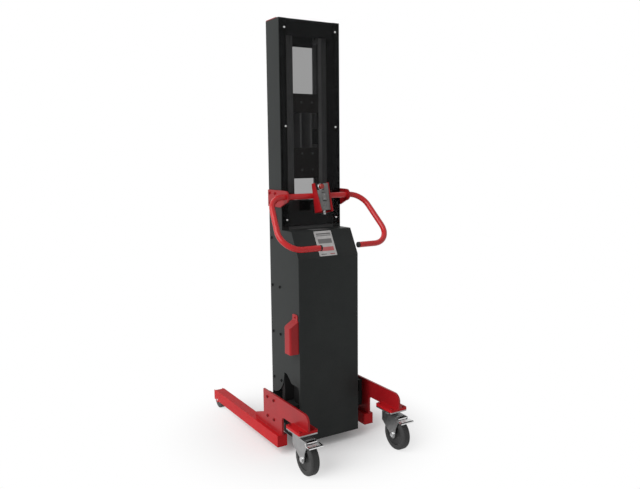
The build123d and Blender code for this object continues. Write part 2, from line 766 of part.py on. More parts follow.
# Casters: fork, axle, wheel and brake pedal on each side
wheel_y = caster_y - caster_trail
pedal_y = caster_y - pedal_pivot_back
fork_outer = caster_fork_gap / 2 + caster_fork_wall
fork_front = caster_y + caster_head_radius
fork_rear = pedal_y - pedal_lug_back
for side, prefix in ((-1, "left"), (1, "right")):
    centre_x = side * track_half
    with BuildPart() as fork:
        with BuildSketch(xy(crown_top)):
            with Locations((centre_x, caster_y)):
                Circle(caster_head_radius)
        extrude(amount=caster_head_height)
        crown_y = (pedal_y + fork_crown_start, fork_front)
        box_span((centre_x - fork_outer, centre_x + fork_outer), crown_y, (crown_bottom, crown_top))
        for start in (centre_x - fork_outer, centre_x + caster_fork_gap / 2):
            with BuildSketch(yz(start)):
                with BuildLine():
                    Polyline(
                        (fork_front, crown_top), (fork_front, crown_bottom - fork_shoulder),
                        (wheel_y + fork_foot_radius, caster_wheel_radius),
                        (wheel_y - fork_foot_radius, caster_wheel_radius),
                        (wheel_y - fork_waist_back, caster_wheel_radius + fork_waist_rise),
                        (fork_rear, pedal_pivot_height - pedal_lug_drop), (fork_rear, crown_top), close=True,
                    )
                make_face()
                with Locations((wheel_y, caster_wheel_radius)):
                    Circle(fork_foot_radius)
                    Circle(caster_axle_diameter / 2 + seat_clearance, mode=Mode.SUBTRACT)
                with Locations((pedal_y, pedal_pivot_height)):
                    Circle(pedal_pin_diameter / 2 + running_clearance, mode=Mode.SUBTRACT)
            extrude(amount=caster_fork_wall)
        with BuildSketch(xy(crown_bottom - overrun)):
            with Locations((centre_x, caster_y)):
                Circle(kingpin_diameter / 2 + running_clearance)
        extrude(amount=caster_height, mode=Mode.SUBTRACT)
    finish(fork, f"{prefix}_caster_fork")

    with BuildPart() as axle:
        centre = [(wheel_y, caster_wheel_radius)]
        rod(yz(centre_x - fork_outer), centre, caster_axle_diameter / 2, 2 * fork_outer)
        for end in (-1, 1):
            with BuildSketch(yz(centre_x + end * fork_outer)):
                with Locations(*centre):
                    RegularPolygon(caster_nut_radius, 6)
            extrude(amount=end * caster_nut_height)
    finish(axle, f"{prefix}_caster_axle")

    with BuildPart() as wheel:
        rod(yz(centre_x - caster_wheel_width / 2), centre, caster_wheel_radius, caster_wheel_width)
        fillet(wheel.edges().filter_by(GeomType.CIRCLE), tyre_corner)
        dish_radius = caster_wheel_radius - tyre_height
        for end in (-1, 1):
            face = yz(centre_x + end * caster_wheel_width / 2)
            rod(face, centre, dish_radius, -end * wheel_dish_depth, Mode.SUBTRACT)
        hub_half = caster_fork_gap / 2 - side_clearance
        rod(yz(centre_x - hub_half), centre, wheel_hub_radius, 2 * hub_half)
        bore = caster_axle_diameter / 2 + running_clearance
        rod(yz(centre_x - hub_half - overrun), centre, bore, 2 * (hub_half + overrun), Mode.SUBTRACT)
    finish(wheel, f"{prefix}_caster_wheel")

    with BuildPart() as pedal:
        pin = [(pedal_y, pedal_pivot_height)]
        rod(yz(centre_x - fork_outer), pin, pedal_pin_diameter / 2, 2 * fork_outer)
        arm_half = caster_fork_gap / 2 - pedal_gap
        tip = (caster_y - pedal_reach, pedal_pivot_height - pedal_drop)
        fork_end = fork_rear - pedal_gap
        slope = (tip[1] - pedal_pivot_height) / (tip[0] - pedal_y)
        knee = (fork_end, pedal_pivot_height + slope * (fork_end - pedal_y))
        half_t = pedal_thickness / 2
        for half, ends in ((arm_half, (pin[0], knee)), (pedal_width / 2, (knee, tip))):
            (y1, z1), (y2, z2) = ends
            with BuildSketch(yz(centre_x)):
                with BuildLine():
                    lower_edge = [(y1, z1 - half_t), (y2, z2 - half_t)]
                    upper_edge = [(y2, z2 + half_t), (y1, z1 + half_t)]
                    Polyline(*lower_edge, *upper_edge, close=True)
                make_face()
            extrude(amount=half, both=True)
    finish(pedal, f"{prefix}_brake_pedal")

# Handle: one bent tube, with caps in its grip ends and two brackets on the mast's sides
with BuildPart() as handle:
    half_route = [
        (handle_bar_half, handle_bar_y, handle_bar_z), (grip_corner_half, grip_y, grip_z),
        (grip_end_half, grip_y, grip_z),
    ]
    route = [(-x, mast_y + y, z) for x, y, z in reversed(half_route)]
    route += [(x, mast_y + y, z) for x, y, z in half_route]
    bends = [handle_lower_radius, handle_upper_radius, handle_upper_radius, handle_lower_radius]
    with BuildLine() as tube_line:
        FilletPolyline(*route, radius=bends)
    with BuildSketch(Plane(origin=tube_line.line @ 0, z_dir=tube_line.line % 0)):
        Circle(handle_diameter / 2)
        Circle(handle_diameter / 2 - handle_wall, mode=Mode.SUBTRACT)
    sweep(path=tube_line.line)
finish(handle, "handle_tube")

with BuildPart() as grip_caps:
    for side in (-1, 1):
        rod(yz(side * grip_end_half), [(grip_y, grip_z)], handle_diameter / 2, -side * grip_cap_length)
    cap_rims = grip_caps.edges().filter_by(GeomType.CIRCLE).group_by(Axis.X)
    fillet(cap_rims[1] + cap_rims[-2], grip_cap_corner)
finish(grip_caps, "grip_caps")

with BuildPart() as handle_brackets:
    bracket_front = mast_depth - mast_sheet
    for side in (-1, 1):
        with BuildSketch(yz(side * half_width)):
            with BuildLine():
                Polyline(
                    (bracket_front, handle_bracket_low), (bracket_front, handle_bracket_high),
                    (0, handle_bracket_high), (handle_bar_y, handle_bar_z + handle_bracket_end_radius),
                    (handle_bar_y, handle_bar_z - handle_bracket_end_radius), (0, handle_bracket_low),
                    close=True,
                )
            make_face()
            with Locations((handle_bar_y, handle_bar_z)):
                Circle(handle_bracket_end_radius)
                Circle(handle_diameter / 2 + seat_clearance, mode=Mode.SUBTRACT)
            with Locations(*handle_bolt_points):
                Circle(bolt_hole, mode=Mode.SUBTRACT)
        extrude(amount=side * handle_bracket_thickness)
finish(handle_brackets, "handle_brackets")

# Control station: a tilted channel welded behind the bar, with the control box in it
tilt = radians(station_tilt)
station_y = handle_bar_y - handle_diameter / 2 - station_depth / 2 + station_sheet / 2
station_middle = (station_shift, mast_y + station_y, handle_bar_z - station_sheet)
station_up = Plane(origin=station_middle, x_dir=(1, 0, 0), z_dir=(0, sin(tilt), cos(tilt)))
with BuildPart() as control_bracket:
    with BuildSketch(station_up):
        Rectangle(station_width, station_depth)
        with Locations((0, -station_sheet)):
            Rectangle(station_width - 2 * station_sheet, station_depth, mode=Mode.SUBTRACT)
    extrude(amount=station_height / 2, both=True)
    station_side = Plane(origin=station_middle, x_dir=(0, cos(tilt), -sin(tilt)), z_dir=(1, 0, 0))
    rear_edge = -station_depth / 2
    cheeks = ((-1, station_left_cut, 0.0), (1, station_right_cut, station_right_trim))
    for side, top_cut, foot_cut in cheeks:
        with BuildSketch(station_side):
            with BuildLine():
                Polyline(
                    (rear_edge - overrun, station_height / 2 + overrun),
                    (rear_edge + top_cut, station_height / 2 + overrun),
                    (rear_edge + foot_cut, -station_height / 2 - overrun),
                    (rear_edge - overrun, -station_height / 2 - overrun), close=True,
                )
            make_face()
        extrude(amount=side * station_width, mode=Mode.SUBTRACT)
    bar_hole = handle_diameter / 2 + seat_clearance
    rod(yz(-station_width), [(handle_bar_y, handle_bar_z)], bar_hole, 2 * station_width, Mode.SUBTRACT)
finish(control_bracket, "control_bracket")

box_half = station_width / 2 - station_sheet
box_rear = -station_depth / 2 + station_panel_recess
box_front = station_depth / 2 - station_sheet
box_low = -station_height / 2 + box_foot_gap
box_high = station_height / 2 + box_rise
panel_middle = station_up.from_local_coords(Vector(0, box_rear, 0))
panel = Plane(origin=panel_middle, x_dir=(1, 0, 0), z_dir=(0, -cos(tilt), sin(tilt)))
stop_place = (stop_x, box_high - stop_diameter / 2 - stop_top_margin)
rocker_place = (rocker_x, rocker_rise)
key_place = (0, -key_drop)
stop_rest = panel.offset(stop_travel + stop_gap)
with BuildPart() as control_box:
    with BuildSketch(station_up.offset(box_low)):
        with Locations((0, (box_rear + box_front) / 2)):
            Rectangle(2 * box_half, box_front - box_rear)
    extrude(amount=box_high - box_low)
    stem_hole = stop_stem_diameter / 2 + running_clearance
    rod(panel, [stop_place], stem_hole, -stop_seat - stop_travel - stop_gap, Mode.SUBTRACT)
    rod(panel, [key_place], key_barrel_diameter / 2 + running_clearance, -key_seat, Mode.SUBTRACT)
    with BuildSketch(panel):
        with Locations(rocker_place):
            Rectangle(rocker_width + 2 * side_clearance, rocker_length + 2 * rocker_end_gap)
    extrude(amount=-rocker_sink - rocker_room, mode=Mode.SUBTRACT)
    pin_reach = rocker_width / 2 + rocker_pin_grip
    pin_end = Vector(rocker_place[0] - pin_reach, rocker_place[1], -rocker_sink / 2)
    pin_start = panel.from_local_coords(pin_end)
    pin_plane = Plane(origin=pin_start, x_dir=station_up.z_dir, z_dir=(1, 0, 0))
    rod(pin_plane, [(0, 0)], rocker_pin_diameter / 2 + running_clearance, 2 * pin_reach, Mode.SUBTRACT)
finish(control_box, "control_box")

with BuildPart() as stop_button:
    rod(stop_rest, [stop_place], stop_diameter / 2, stop_height)
    fillet(stop_button.edges().filter_by(GeomType.CIRCLE).sort_by(Axis.Y)[0], stop_corner)
    rod(stop_rest, [stop_place], stop_stem_diameter / 2, -stop_seat - stop_travel - stop_gap)
finish(stop_button, "emergency_stop")

with BuildPart() as rocker:
    with BuildSketch(panel.offset(-rocker_sink)):
        with Locations(rocker_place):
            Rectangle(rocker_width, rocker_length)
    extrude(amount=rocker_sink + rocker_stand)
    rod(pin_plane, [(0, 0)], rocker_pin_diameter / 2, 2 * pin_reach)
finish(rocker, "lift_rocker")

with BuildPart() as key:
    rod(panel, [key_place], key_barrel_diameter / 2, -key_seat)
    rod(panel, [key_place], key_barrel_diameter / 2 + key_collar, key_collar_height)
    with BuildSketch(panel.offset(key_collar_height)):
        with Locations(key_place):
            Rectangle(key_blade, key_barrel_diameter)
    extrude(amount=key_reach)
finish(key, "key_switch")

with BuildPart() as gland:
    under = station_up.offset(box_low)
    gland_place = (0, box_rear + gland_inset)
    with BuildSketch(under):
        with Locations(gland_place):
            RegularPolygon(gland_nut_radius, 6)
    extrude(amount=-gland_length / 2)
    rod(under, [gland_place], gland_diameter / 2, -gland_length)
finish(gland, "cable_gland")

# Lift belt: a closed loop over the idler under the head and the drive pulley above the tray
with BuildPart() as belt:
    with BuildSketch(yz(belt_x)):
        with Locations((pulley_y, (idler_z + drive_z) / 2)):
            SlotCenterToCenter(idler_z - drive_z, 2 * belt_outer, rotation=90)
            SlotCenterToCenter(idler_z - drive_z, 2 * belt_inner, rotation=90, mode=Mode.SUBTRACT)
    extrude(amount=belt_width / 2, both=True)
finish(belt, "lift_belt")


def pulley_body(height):
    """Add a flanged pulley drum with its axis along X."""
    centre = [(pulley_y, height)]
    rod(yz(belt_x - pulley_half), centre, pulley_radius, 2 * pulley_half)
    for end in (-1, 1):
        rod(yz(belt_x + end * pulley_half), centre, belt_outer + pulley_flange_rise, -end * pulley_flange)


with BuildPart() as idler:
    pulley_body(idler_z)
    bore = idler_shaft_diameter / 2 + running_clearance
    rod(yz(0), [(pulley_y, idler_z)], bore, 2 * belt_x, Mode.SUBTRACT)
finish(idler, "idler_pulley")

idler_cheek = pulley_half + side_clearance
with BuildPart() as idler_bracket:
    outer = idler_cheek + idler_bracket_sheet
    depth = (pulley_y - idler_bracket_depth / 2, pulley_y + idler_bracket_depth / 2)
    hang = mast_top - mast_sheet
    box_span((belt_x - outer, belt_x + outer), depth, (idler_z - idler_shaft_diameter, hang))
    slot_top = hang - idler_bracket_sheet
    slot_y = (depth[0] - overrun, depth[1] + overrun)
    box_span((belt_x - idler_cheek, belt_x + idler_cheek), slot_y, (0, slot_top), Mode.SUBTRACT)
    shaft_hole = idler_shaft_diameter / 2 + seat_clearance
    shaft_cut = 2 * (outer + overrun)
    rod(yz(belt_x - outer - overrun), [(pulley_y, idler_z)], shaft_hole, shaft_cut, Mode.SUBTRACT)
finish(idler_bracket, "idler_bracket")

with BuildPart() as idler_shaft:
    rod(yz(belt_x - outer), [(pulley_y, idler_z)], idler_shaft_diameter / 2, 2 * outer)
finish(idler_shaft, "idler_shaft")

with BuildPart() as drive:
    pulley_body(drive_z)
    shaft_length = belt_x + pulley_half - gearbox_right + drive_shaft_seat
    rod(yz(belt_x + pulley_half), [(pulley_y, drive_z)], drive_shaft_diameter / 2, -shaft_length)
finish(drive, "drive_pulley")

# Gearmotor on the tray, batteries on the arms and the controller on the back plate
gearbox_middle = gearbox_right - gearbox_width / 2
with BuildPart() as gearmotor:
    gearbox_top = tray_top + gearbox_height
    gearbox_x = (gearbox_right - gearbox_width, gearbox_right)
    box_span(gearbox_x, (gearbox_rear, gearbox_front), (tray_top, gearbox_top))
    fillet(gearmotor.edges().filter_by(Axis.Z), gearbox_corner)
    rod(xy(gearbox_top), [(gearbox_middle, motor_y)], motor_diameter / 2, motor_length)
    bore = drive_shaft_diameter / 2 + running_clearance
    shaft_cut = -drive_shaft_seat - drive_shaft_end_gap
    rod(yz(gearbox_right), [(pulley_y, drive_z)], bore, shaft_cut, Mode.SUBTRACT)
finish(gearmotor, "gearmotor")

with BuildPart() as batteries:
    battery_outer = half_width - cabinet_sheet - battery_side_gap
    battery_rear = -cabinet_depth + cabinet_sheet + battery_rear_gap
    for side in (-1, 1):
        across = sorted((side * battery_outer, side * (battery_outer - battery_width)))
        box_span(across, (battery_rear, battery_rear + battery_depth), (arm_top, arm_top + battery_height))
    fillet(batteries.edges().filter_by(Axis.Z), battery_corner)
finish(batteries, "batteries")

with BuildPart() as controller:
    depth = (mast_sheet - controller_depth, mast_sheet)
    height = (controller_bottom, controller_bottom + controller_height)
    box_span((-controller_width / 2, controller_width / 2), depth, height)
    fillet(controller.edges().filter_by(Axis.Y), controller_corner)
finish(controller, "motor_controller")

# Carriage: load plate with two cheeks, cross plates behind, roller pins, rollers and belt clamp
carriage_top = carriage_bottom + carriage_height
pin_points = [(carriage_roller_y, carriage_bottom + level) for level in (lower_pin_level, upper_pin_level)]
carriage_bolt_levels = (lower_bolt_level, middle_bolt_level, upper_bolt_level)
carriage_screws = [
    (side * cheek_centre_x, carriage_bottom + level) for side in (-1, 1) for level in carriage_bolt_levels
]
cross_front = cross_plate_rear + cross_plate_thickness
carriage_hole = (carriage_bolt + hole_clearance) / 2
with BuildPart() as carriage:
    plate_y = (load_plate_rear, load_plate_rear + load_plate_thickness)
    box_span((-load_plate_width / 2, load_plate_width / 2), plate_y, (carriage_bottom, carriage_top))
    fillet(carriage.edges().filter_by(Axis.Y), load_plate_corner)
    with BuildSketch(xz(load_plate_rear - overrun)):
        with Locations((0, (carriage_bottom + carriage_top) / 2)):
            with GridLocations(load_plate_holes_x, load_plate_holes_z, 2, 2):
                Circle(load_plate_hole_diameter / 2)
            with GridLocations(load_plate_slot_spacing, load_plate_slot_length, 2, 1):
                SlotOverall(load_plate_slot_length, load_plate_slot_width, rotation=90)
    extrude(amount=load_plate_thickness + 2 * overrun, mode=Mode.SUBTRACT)
    for side in (-1, 1):
        cheek = sorted((side * cheek_inner, side * cheek_outer))
        box_span(cheek, (cross_front, load_plate_rear), (carriage_bottom, carriage_top))
        pin_hole = carriage_pin_diameter / 2 + seat_clearance
        rod(yz(cheek[0] - overrun), pin_points, pin_hole, cheek_thickness + 2 * overrun, Mode.SUBTRACT)
    rod(xz(cross_front), carriage_screws, carriage_hole, carriage_bolt_depth, Mode.SUBTRACT)
finish(carriage, "carriage_plate")

with BuildPart() as cross_plates:
    depth = (cross_plate_rear, cross_front)
    across = (-cross_plate_half, cross_plate_half)
    box_span(across, depth, (carriage_bottom, carriage_bottom + lower_cross_height))
    box_span(across, depth, (carriage_top - upper_cross_height, carriage_top))
    plate_cut = cross_plate_thickness + 2 * overrun
    rod(xz(cross_plate_rear - overrun), carriage_screws, carriage_hole, plate_cut, Mode.SUBTRACT)
finish(cross_plates, "carriage_cross_plates")

with BuildPart() as carriage_bolts:
    size = (carriage_bolt, carriage_head, carriage_head_height)
    bolt_set(xz(cross_plate_rear), carriage_screws, size, cross_plate_thickness + carriage_bolt_grip, -1)
finish(carriage_bolts, "carriage_bolts")

with BuildPart() as roller_pins:
    for side in (-1, 1):
        pin_length = roller_inner + carriage_roller_width + carriage_pin_end - cheek_inner
        head_radius = carriage_pin_diameter / 2 + carriage_pin_head_rise
        rod(yz(side * cheek_inner), pin_points, carriage_pin_diameter / 2, side * pin_length)
        rod(yz(side * cheek_inner), pin_points, head_radius, -side * carriage_pin_head)
finish(roller_pins, "carriage_roller_pins")

for side, across in ((-1, "left"), (1, "right")):
    for point, level in zip(pin_points, ("lower", "upper")):
        with BuildPart() as guide_roller:
            rod(yz(side * roller_inner), [point], carriage_roller_radius, side * carriage_roller_width)
            fillet(guide_roller.edges().filter_by(GeomType.CIRCLE), carriage_roller_corner)
            bore = carriage_pin_diameter / 2 + running_clearance
            bore_length = side * (carriage_roller_width + 2 * overrun)
            rod(yz(side * (roller_inner - overrun)), [point], bore, bore_length, Mode.SUBTRACT)
        finish(guide_roller, f"{level}_{across}_guide_roller")

with BuildPart() as belt_clamp:
    middle = (carriage_bottom + carriage_top) / 2
    front_run = (pulley_y + belt_inner, pulley_y + belt_outer)
    slot = (front_run[0] - clamp_clearance, front_run[1] + clamp_clearance)
    reach = belt_x + belt_width / 2
    height = (middle - clamp_height / 2, middle + clamp_height / 2)
    box_span((cheek_outer, reach), (slot[0] - clamp_jaw, slot[1] + clamp_jaw), height)
    slot_start = belt_x - belt_width / 2 - clamp_clearance
    slot_z = (height[0] - overrun, height[1] + overrun)
    box_span((slot_start, reach + overrun), slot, slot_z, Mode.SUBTRACT)
finish(belt_clamp, "belt_clamp")

# Fasteners, one node for each kind
with BuildPart() as panel_screws:
    size = (panel_screw, panel_head, panel_head_height)
    bolt_set(xz(-guard_thickness), screw_points, size, guard_thickness + 2 * mast_sheet, -1)
    lip_screw = cabinet_sheet + mast_sheet + panel_screw_end
    for side in (-1, 1):
        bolt_set(yz(side * half_width), cabinet_screw_points, size, lip_screw, side)
finish(panel_screws, "panel_screws")

with BuildPart() as frame_bolts:
    size = (frame_bolt, frame_head, frame_head_height)
    for side in (-1, 1):
        bolt_set(yz(side * half_width), rail_bolt_points, size, mast_sheet + rail_bolt_grip, side)
        bracket_face = half_width + handle_bracket_thickness
        bracket_bolt = handle_bracket_thickness + handle_bolt_grip
        bolt_set(yz(side * bracket_face), handle_bolt_points, size, bracket_bolt, side)
        plate_face = track_half + side_plate_thickness / 2
        bolt_set(yz(side * plate_face), side_bolt_points, size, side_plate_thickness + side_bolt_grip, side)
    caster_bolt = caster_flange_thickness + caster_plate_thickness + caster_bolt_end
    bolt_set(xy(flange_top), caster_bolt_points, size, caster_bolt)
finish(frame_bolts, "frame_bolts")
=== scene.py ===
import json
import math

import bmesh
import bpy
from mathutils import Matrix, Vector


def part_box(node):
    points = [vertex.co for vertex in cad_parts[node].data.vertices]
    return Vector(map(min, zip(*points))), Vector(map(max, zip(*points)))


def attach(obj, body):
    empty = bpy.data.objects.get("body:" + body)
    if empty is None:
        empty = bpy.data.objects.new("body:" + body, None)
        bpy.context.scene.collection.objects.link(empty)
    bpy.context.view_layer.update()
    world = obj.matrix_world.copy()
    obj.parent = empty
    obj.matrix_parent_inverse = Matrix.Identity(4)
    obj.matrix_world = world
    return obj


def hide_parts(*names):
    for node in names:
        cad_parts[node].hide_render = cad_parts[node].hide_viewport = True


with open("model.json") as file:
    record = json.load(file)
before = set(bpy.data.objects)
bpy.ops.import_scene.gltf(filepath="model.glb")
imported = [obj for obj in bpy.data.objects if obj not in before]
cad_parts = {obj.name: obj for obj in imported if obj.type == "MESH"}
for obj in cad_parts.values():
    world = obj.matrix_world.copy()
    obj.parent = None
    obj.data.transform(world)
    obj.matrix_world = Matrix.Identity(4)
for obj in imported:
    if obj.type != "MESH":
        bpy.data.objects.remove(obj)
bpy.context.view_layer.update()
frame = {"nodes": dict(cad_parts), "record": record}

nodes = frame["nodes"]
behaviour = frame["record"]["behaviour"]
bodyOf = {node: body for body, members in behaviour["bodies"].items() for node in members}
jointOf = {joint["name"]: joint for joint in behaviour["joints"]}
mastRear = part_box("left_upright")[0].y  # rear face of the mast, which the camera is placed from
acrossAxis = Vector((1, 0, 0))
mm = 0.001
sameSpot = 0.002 * mm  # points closer than this are one


# A shader socket that works in Python expressions
class Sock:
    def __init__(self, tree, socket):
        self.tree = tree
        self.socket = socket

    def node(self, kind, settings=None, sockets=None, out=0):
        made = self.tree.nodes.new("ShaderNode" + kind)
        for key, value in (settings or {}).items():
            setattr(made, key, value)
        for key, value in (sockets or {}).items():
            if isinstance(value, Sock):
                self.tree.links.new(value.socket, made.inputs[key])
            else:
                made.inputs[key].default_value = value
        return Sock(self.tree, made.outputs[out])

    def maths(self, operation, first, second):
        return self.node("Math", {"operation": operation}, {0: first, 1: second})

    def __add__(self, other):
        return self.maths("ADD", self, other)

    def __radd__(self, other):
        return self.maths("ADD", other, self)

    def __sub__(self, other):
        return self.maths("SUBTRACT", self, other)

    def __rsub__(self, other):
        return self.maths("SUBTRACT", other, self)

    def __mul__(self, other):
        return self.maths("MULTIPLY", self, other)

    def __rmul__(self, other):
        return self.maths("MULTIPLY", other, self)

    def smooth(self, low, high):
        settings = {"interpolation_type": "SMOOTHSTEP"}
        return self.node("MapRange", settings, {"Value": self, "From Min": low, "From Max": high})

    def tint(self, dark, light):
        return self.node("Mix", {"data_type": "RGBA"}, {0: self, 6: dark, 7: light}, out=2)

    def noise(self, scale, detail):
        return self.node("TexNoise", None, {"Vector": self, "Scale": scale, "Detail": detail})

    def axis(self, index):
        return self.node("SeparateXYZ", None, {"Vector": self}, index)

    def feed(self, shader, name):
        self.tree.links.new(self.socket, shader.inputs[name])

    def relief(self, shader, strength, depth):
        bump = self.node("Bump", None, {"Height": self, "Strength": strength, "Distance": depth})
        bump.feed(shader, "Normal")


def startMaterial(name, fixed):
    material = bpy.data.materials.new(name)
    material.use_nodes = True
    shader = material.node_tree.nodes["Principled BSDF"]
    for key, value in fixed.items():
        shader.inputs[key].default_value = value
    coords = material.node_tree.nodes.new("ShaderNodeTexCoord").outputs["Object"]
    return material, shader, Sock(material.node_tree, coords)


def grey(level):
    return (level, level, level, 1.0)


# Powder coat: slow tone clouds, orange peel, a little dust towards the floor
def powderCoat(name, look):
    peelDepth = 0.2 * mm
    material, shader, coords = startMaterial(name, {"Specular IOR Level": look["specular"]})
    cloud = coords.noise(look["cloud"], 4.0)
    peel = coords.noise(look["peel"], 2.0)
    low = 1 - coords.axis(2).smooth(0.0, look["dustTop"])
    dust = low * cloud.smooth(0.35, 0.75) * look["dust"]
    paint = (cloud * 0.6 + peel * 0.4).smooth(0.35, 0.65).tint(look["dark"], look["light"])
    # A look with a foot is painted lighter than its own colour above footTop, as painted light
    if "foot" in look:  # darker below footTop
        risen = coords.axis(2).smooth(look["footTop"] - look["footFade"], look["footTop"])
        paint = risen.tint(look["foot"], paint)
    dust.tint(paint, look["dustColour"]).feed(shader, "Base Color")
    (look["rough"] + (cloud - 0.5) * look["roughSpread"] + dust * 0.3).feed(shader, "Roughness")
    peel.relief(shader, look["bump"], peelDepth)
    return material


# Plated or ground metal: fine streaks along one axis and slow changes of gloss
def platedMetal(name, look):
    streakDepth = 0.1 * mm
    material, shader, coords = startMaterial(name, {"Metallic": 1.0})
    stretched = coords.node("Mapping", None, {"Vector": coords, "Scale": look["streak"]})
    streak = stretched.noise(look["fine"], 3.0)
    cloud = coords.noise(look["cloud"], 4.0)
    tone = (streak * 0.5 + cloud * 0.5).smooth(0.3, 0.7)
    tone.tint(look["dark"], look["light"]).feed(shader, "Base Color")
    (look["rough"] + (streak - 0.5) * look["roughSpread"] + (cloud - 0.5) * 0.1).feed(shader, "Roughness")
    streak.relief(shader, look["bump"], streakDepth)
    return material


# Moulded plastic and rubber: fine grain, slow tone changes, scuffs
def moulded(name, look):
    grainDepth, scuffsPerCloud = 0.2 * mm, 9
    material, shader, coords = startMaterial(name, {"Specular IOR Level": look["specular"]})
    grain = coords.noise(look["grain"], 3.0)
    cloud = coords.noise(look["cloud"], 4.0)
    scuff = coords.noise(look["cloud"] * scuffsPerCloud, 6.0).smooth(0.6, 0.78) * look["scuff"]
    body = (cloud * 0.7 + grain * 0.3).smooth(0.3, 0.7).tint(look["dark"], look["light"])
    scuff.tint(body, look["scuffColour"]).feed(shader, "Base Color")
    (look["rough"] + (cloud - 0.5) * 0.12 + scuff * 0.2).feed(shader, "Roughness")
    grain.relief(shader, look["bump"], grainDepth)
    return material


# Smoked sheet: tinted, clearer towards its foot, with faint smears
def smokedSheet(name, look):
    fixed = {"Specular IOR Level": look["specular"], "Base Color": look["tint"]}
    material, shader, coords = startMaterial(name, fixed)
    smear = coords.noise(look["smear"], 5.0)
    shade = coords.axis(2).smooth(look["clearZ"], look["denseZ"])
    opacity = look["clear"] + shade * (look["dense"] - look["clear"])
    (opacity + (smear - 0.5) * 0.02).feed(shader, "Alpha")
    (look["rough"] + smear * 0.08).feed(shader, "Roughness")
    return material


# Printed plate: plain bars on a pale ground
def printedPlate(name, look):
    material, shader, coords = startMaterial(name, {"Specular IOR Level": look["specular"]})
    across, height = coords.axis(0), coords.axis(2)
    soft = look["softEdge"] * mm
    cloud = coords.noise(look["cloud"], 4.0)
    face = cloud.smooth(0.3, 0.7).tint(look["dark"], look["light"])
    for bar in look["bars"]:
        inside = bar["ink"]
        for place, (start, end) in ((across, bar["across"]), (height, bar["height"])):
            begun, ended = (place.smooth(edge - soft, edge + soft) for edge in (start, end))
            inside = inside * begun * (1 - ended)
        face = inside.tint(face, bar["colour"])
    face.feed(shader, "Base Color")
    (look["rough"] + (cloud - 0.5) * 0.15).feed(shader, "Roughness")
    return material


# Each finish gives what differs from its family, and the record's slot that it stands for
coatFamily = {"roughSpread": 0.14, "cloud": 9.0, "peel": 400.0, "bump": 0.10, "dust": 0.0, "dustTop": 0.20,
              "dustColour": grey(0.15)}
coats = {
    "blackCoat": {
        "slot": "black_coat", "dark": (0.0148, 0.0166, 0.0163, 1), "light": (0.0202, 0.0225, 0.0219, 1),
        "rough": 0.46, "roughSpread": 0.16, "specular": 0.13, "cloud": 7.0, "peel": 420.0, "dust": 0.06,
        "dustTop": 0.30, "dustColour": (0.09, 0.088, 0.085, 1)},
    "redCoat": {
        "slot": "red_coat", "dark": (0.245, 0.0055, 0.0080, 1), "light": (0.295, 0.0085, 0.0115, 1),
        "rough": 0.36, "specular": 0.22, "peel": 380.0, "dust": 0.04, "dustColour": (0.30, 0.12, 0.11, 1)},
    # Brighter copy of the red coat for the handle tube: painted light, standing in for the top light and
    # highlight on the tube
    "handleRed": {
        "slot": "red_coat", "dark": (0.40, 0.008, 0.010, 1), "light": (0.48, 0.012, 0.014, 1),
        "rough": 0.28, "roughSpread": 0.12, "specular": 0.32, "peel": 380.0, "bump": 0.08},
    # Brighter copy of the red coat for the legs and caster flanges: painted light, standing in for light
    # from above on their top faces
    "legRed": {
        "slot": "red_coat", "dark": (0.36, 0.007, 0.010, 1), "light": (0.43, 0.011, 0.014, 1),
        "rough": 0.46, "roughSpread": 0.12, "specular": 0.10, "peel": 380.0, "dust": 0.03,
        "dustTop": 0.10, "dustColour": (0.36, 0.14, 0.13, 1)},
    # Darker copy of the red coat for the bolt heads on the side plates: painted shade
    "shadeRed": {
        "slot": "red_coat", "dark": (0.140, 0.004, 0.006, 1), "light": (0.180, 0.006, 0.008, 1),
        "rough": 0.42, "roughSpread": 0.12, "specular": 0.15, "cloud": 60.0, "peel": 600.0, "bump": 0.08},
    # Lighter copy of the black coat for the plate behind the guard: painted light above footTop, with a foot
    # near the coat's own black below it
    "backCoat": {
        "slot": "black_coat", "dark": (0.105, 0.108, 0.108, 1), "light": (0.130, 0.133, 0.133, 1),
        "rough": 0.5, "specular": 0.10, "cloud": 8.0, "peel": 420.0, "foot": grey(0.022), "footTop": 0.7,
        "footFade": 0.1},
    "carriageCoat": {
        "slot": "carriage_coat", "dark": (0.365, 0.368, 0.368, 1), "light": (0.430, 0.433, 0.433, 1),
        "rough": 0.42, "specular": 0.3},
    # Brown, lighter copy of the black coat for the carriage cross plates: painted reflection
    "crossCoat": {
        "slot": "black_coat", "dark": (0.040, 0.032, 0.029, 1), "light": (0.054, 0.045, 0.041, 1),
        "rough": 0.46, "specular": 0.2},
    "motorPaint": {
        "slot": "motor_paint", "dark": (0.055, 0.058, 0.062, 1), "light": (0.08, 0.084, 0.09, 1),
        "rough": 0.45, "roughSpread": 0.15, "specular": 0.4, "cloud": 20.0, "peel": 500.0, "bump": 0.2,
        "dust": 0.2, "dustTop": 0.4},
}
metalFamily = {"roughSpread": 0.14, "streak": (1.0, 1.0, 1.0), "bump": 0.05}
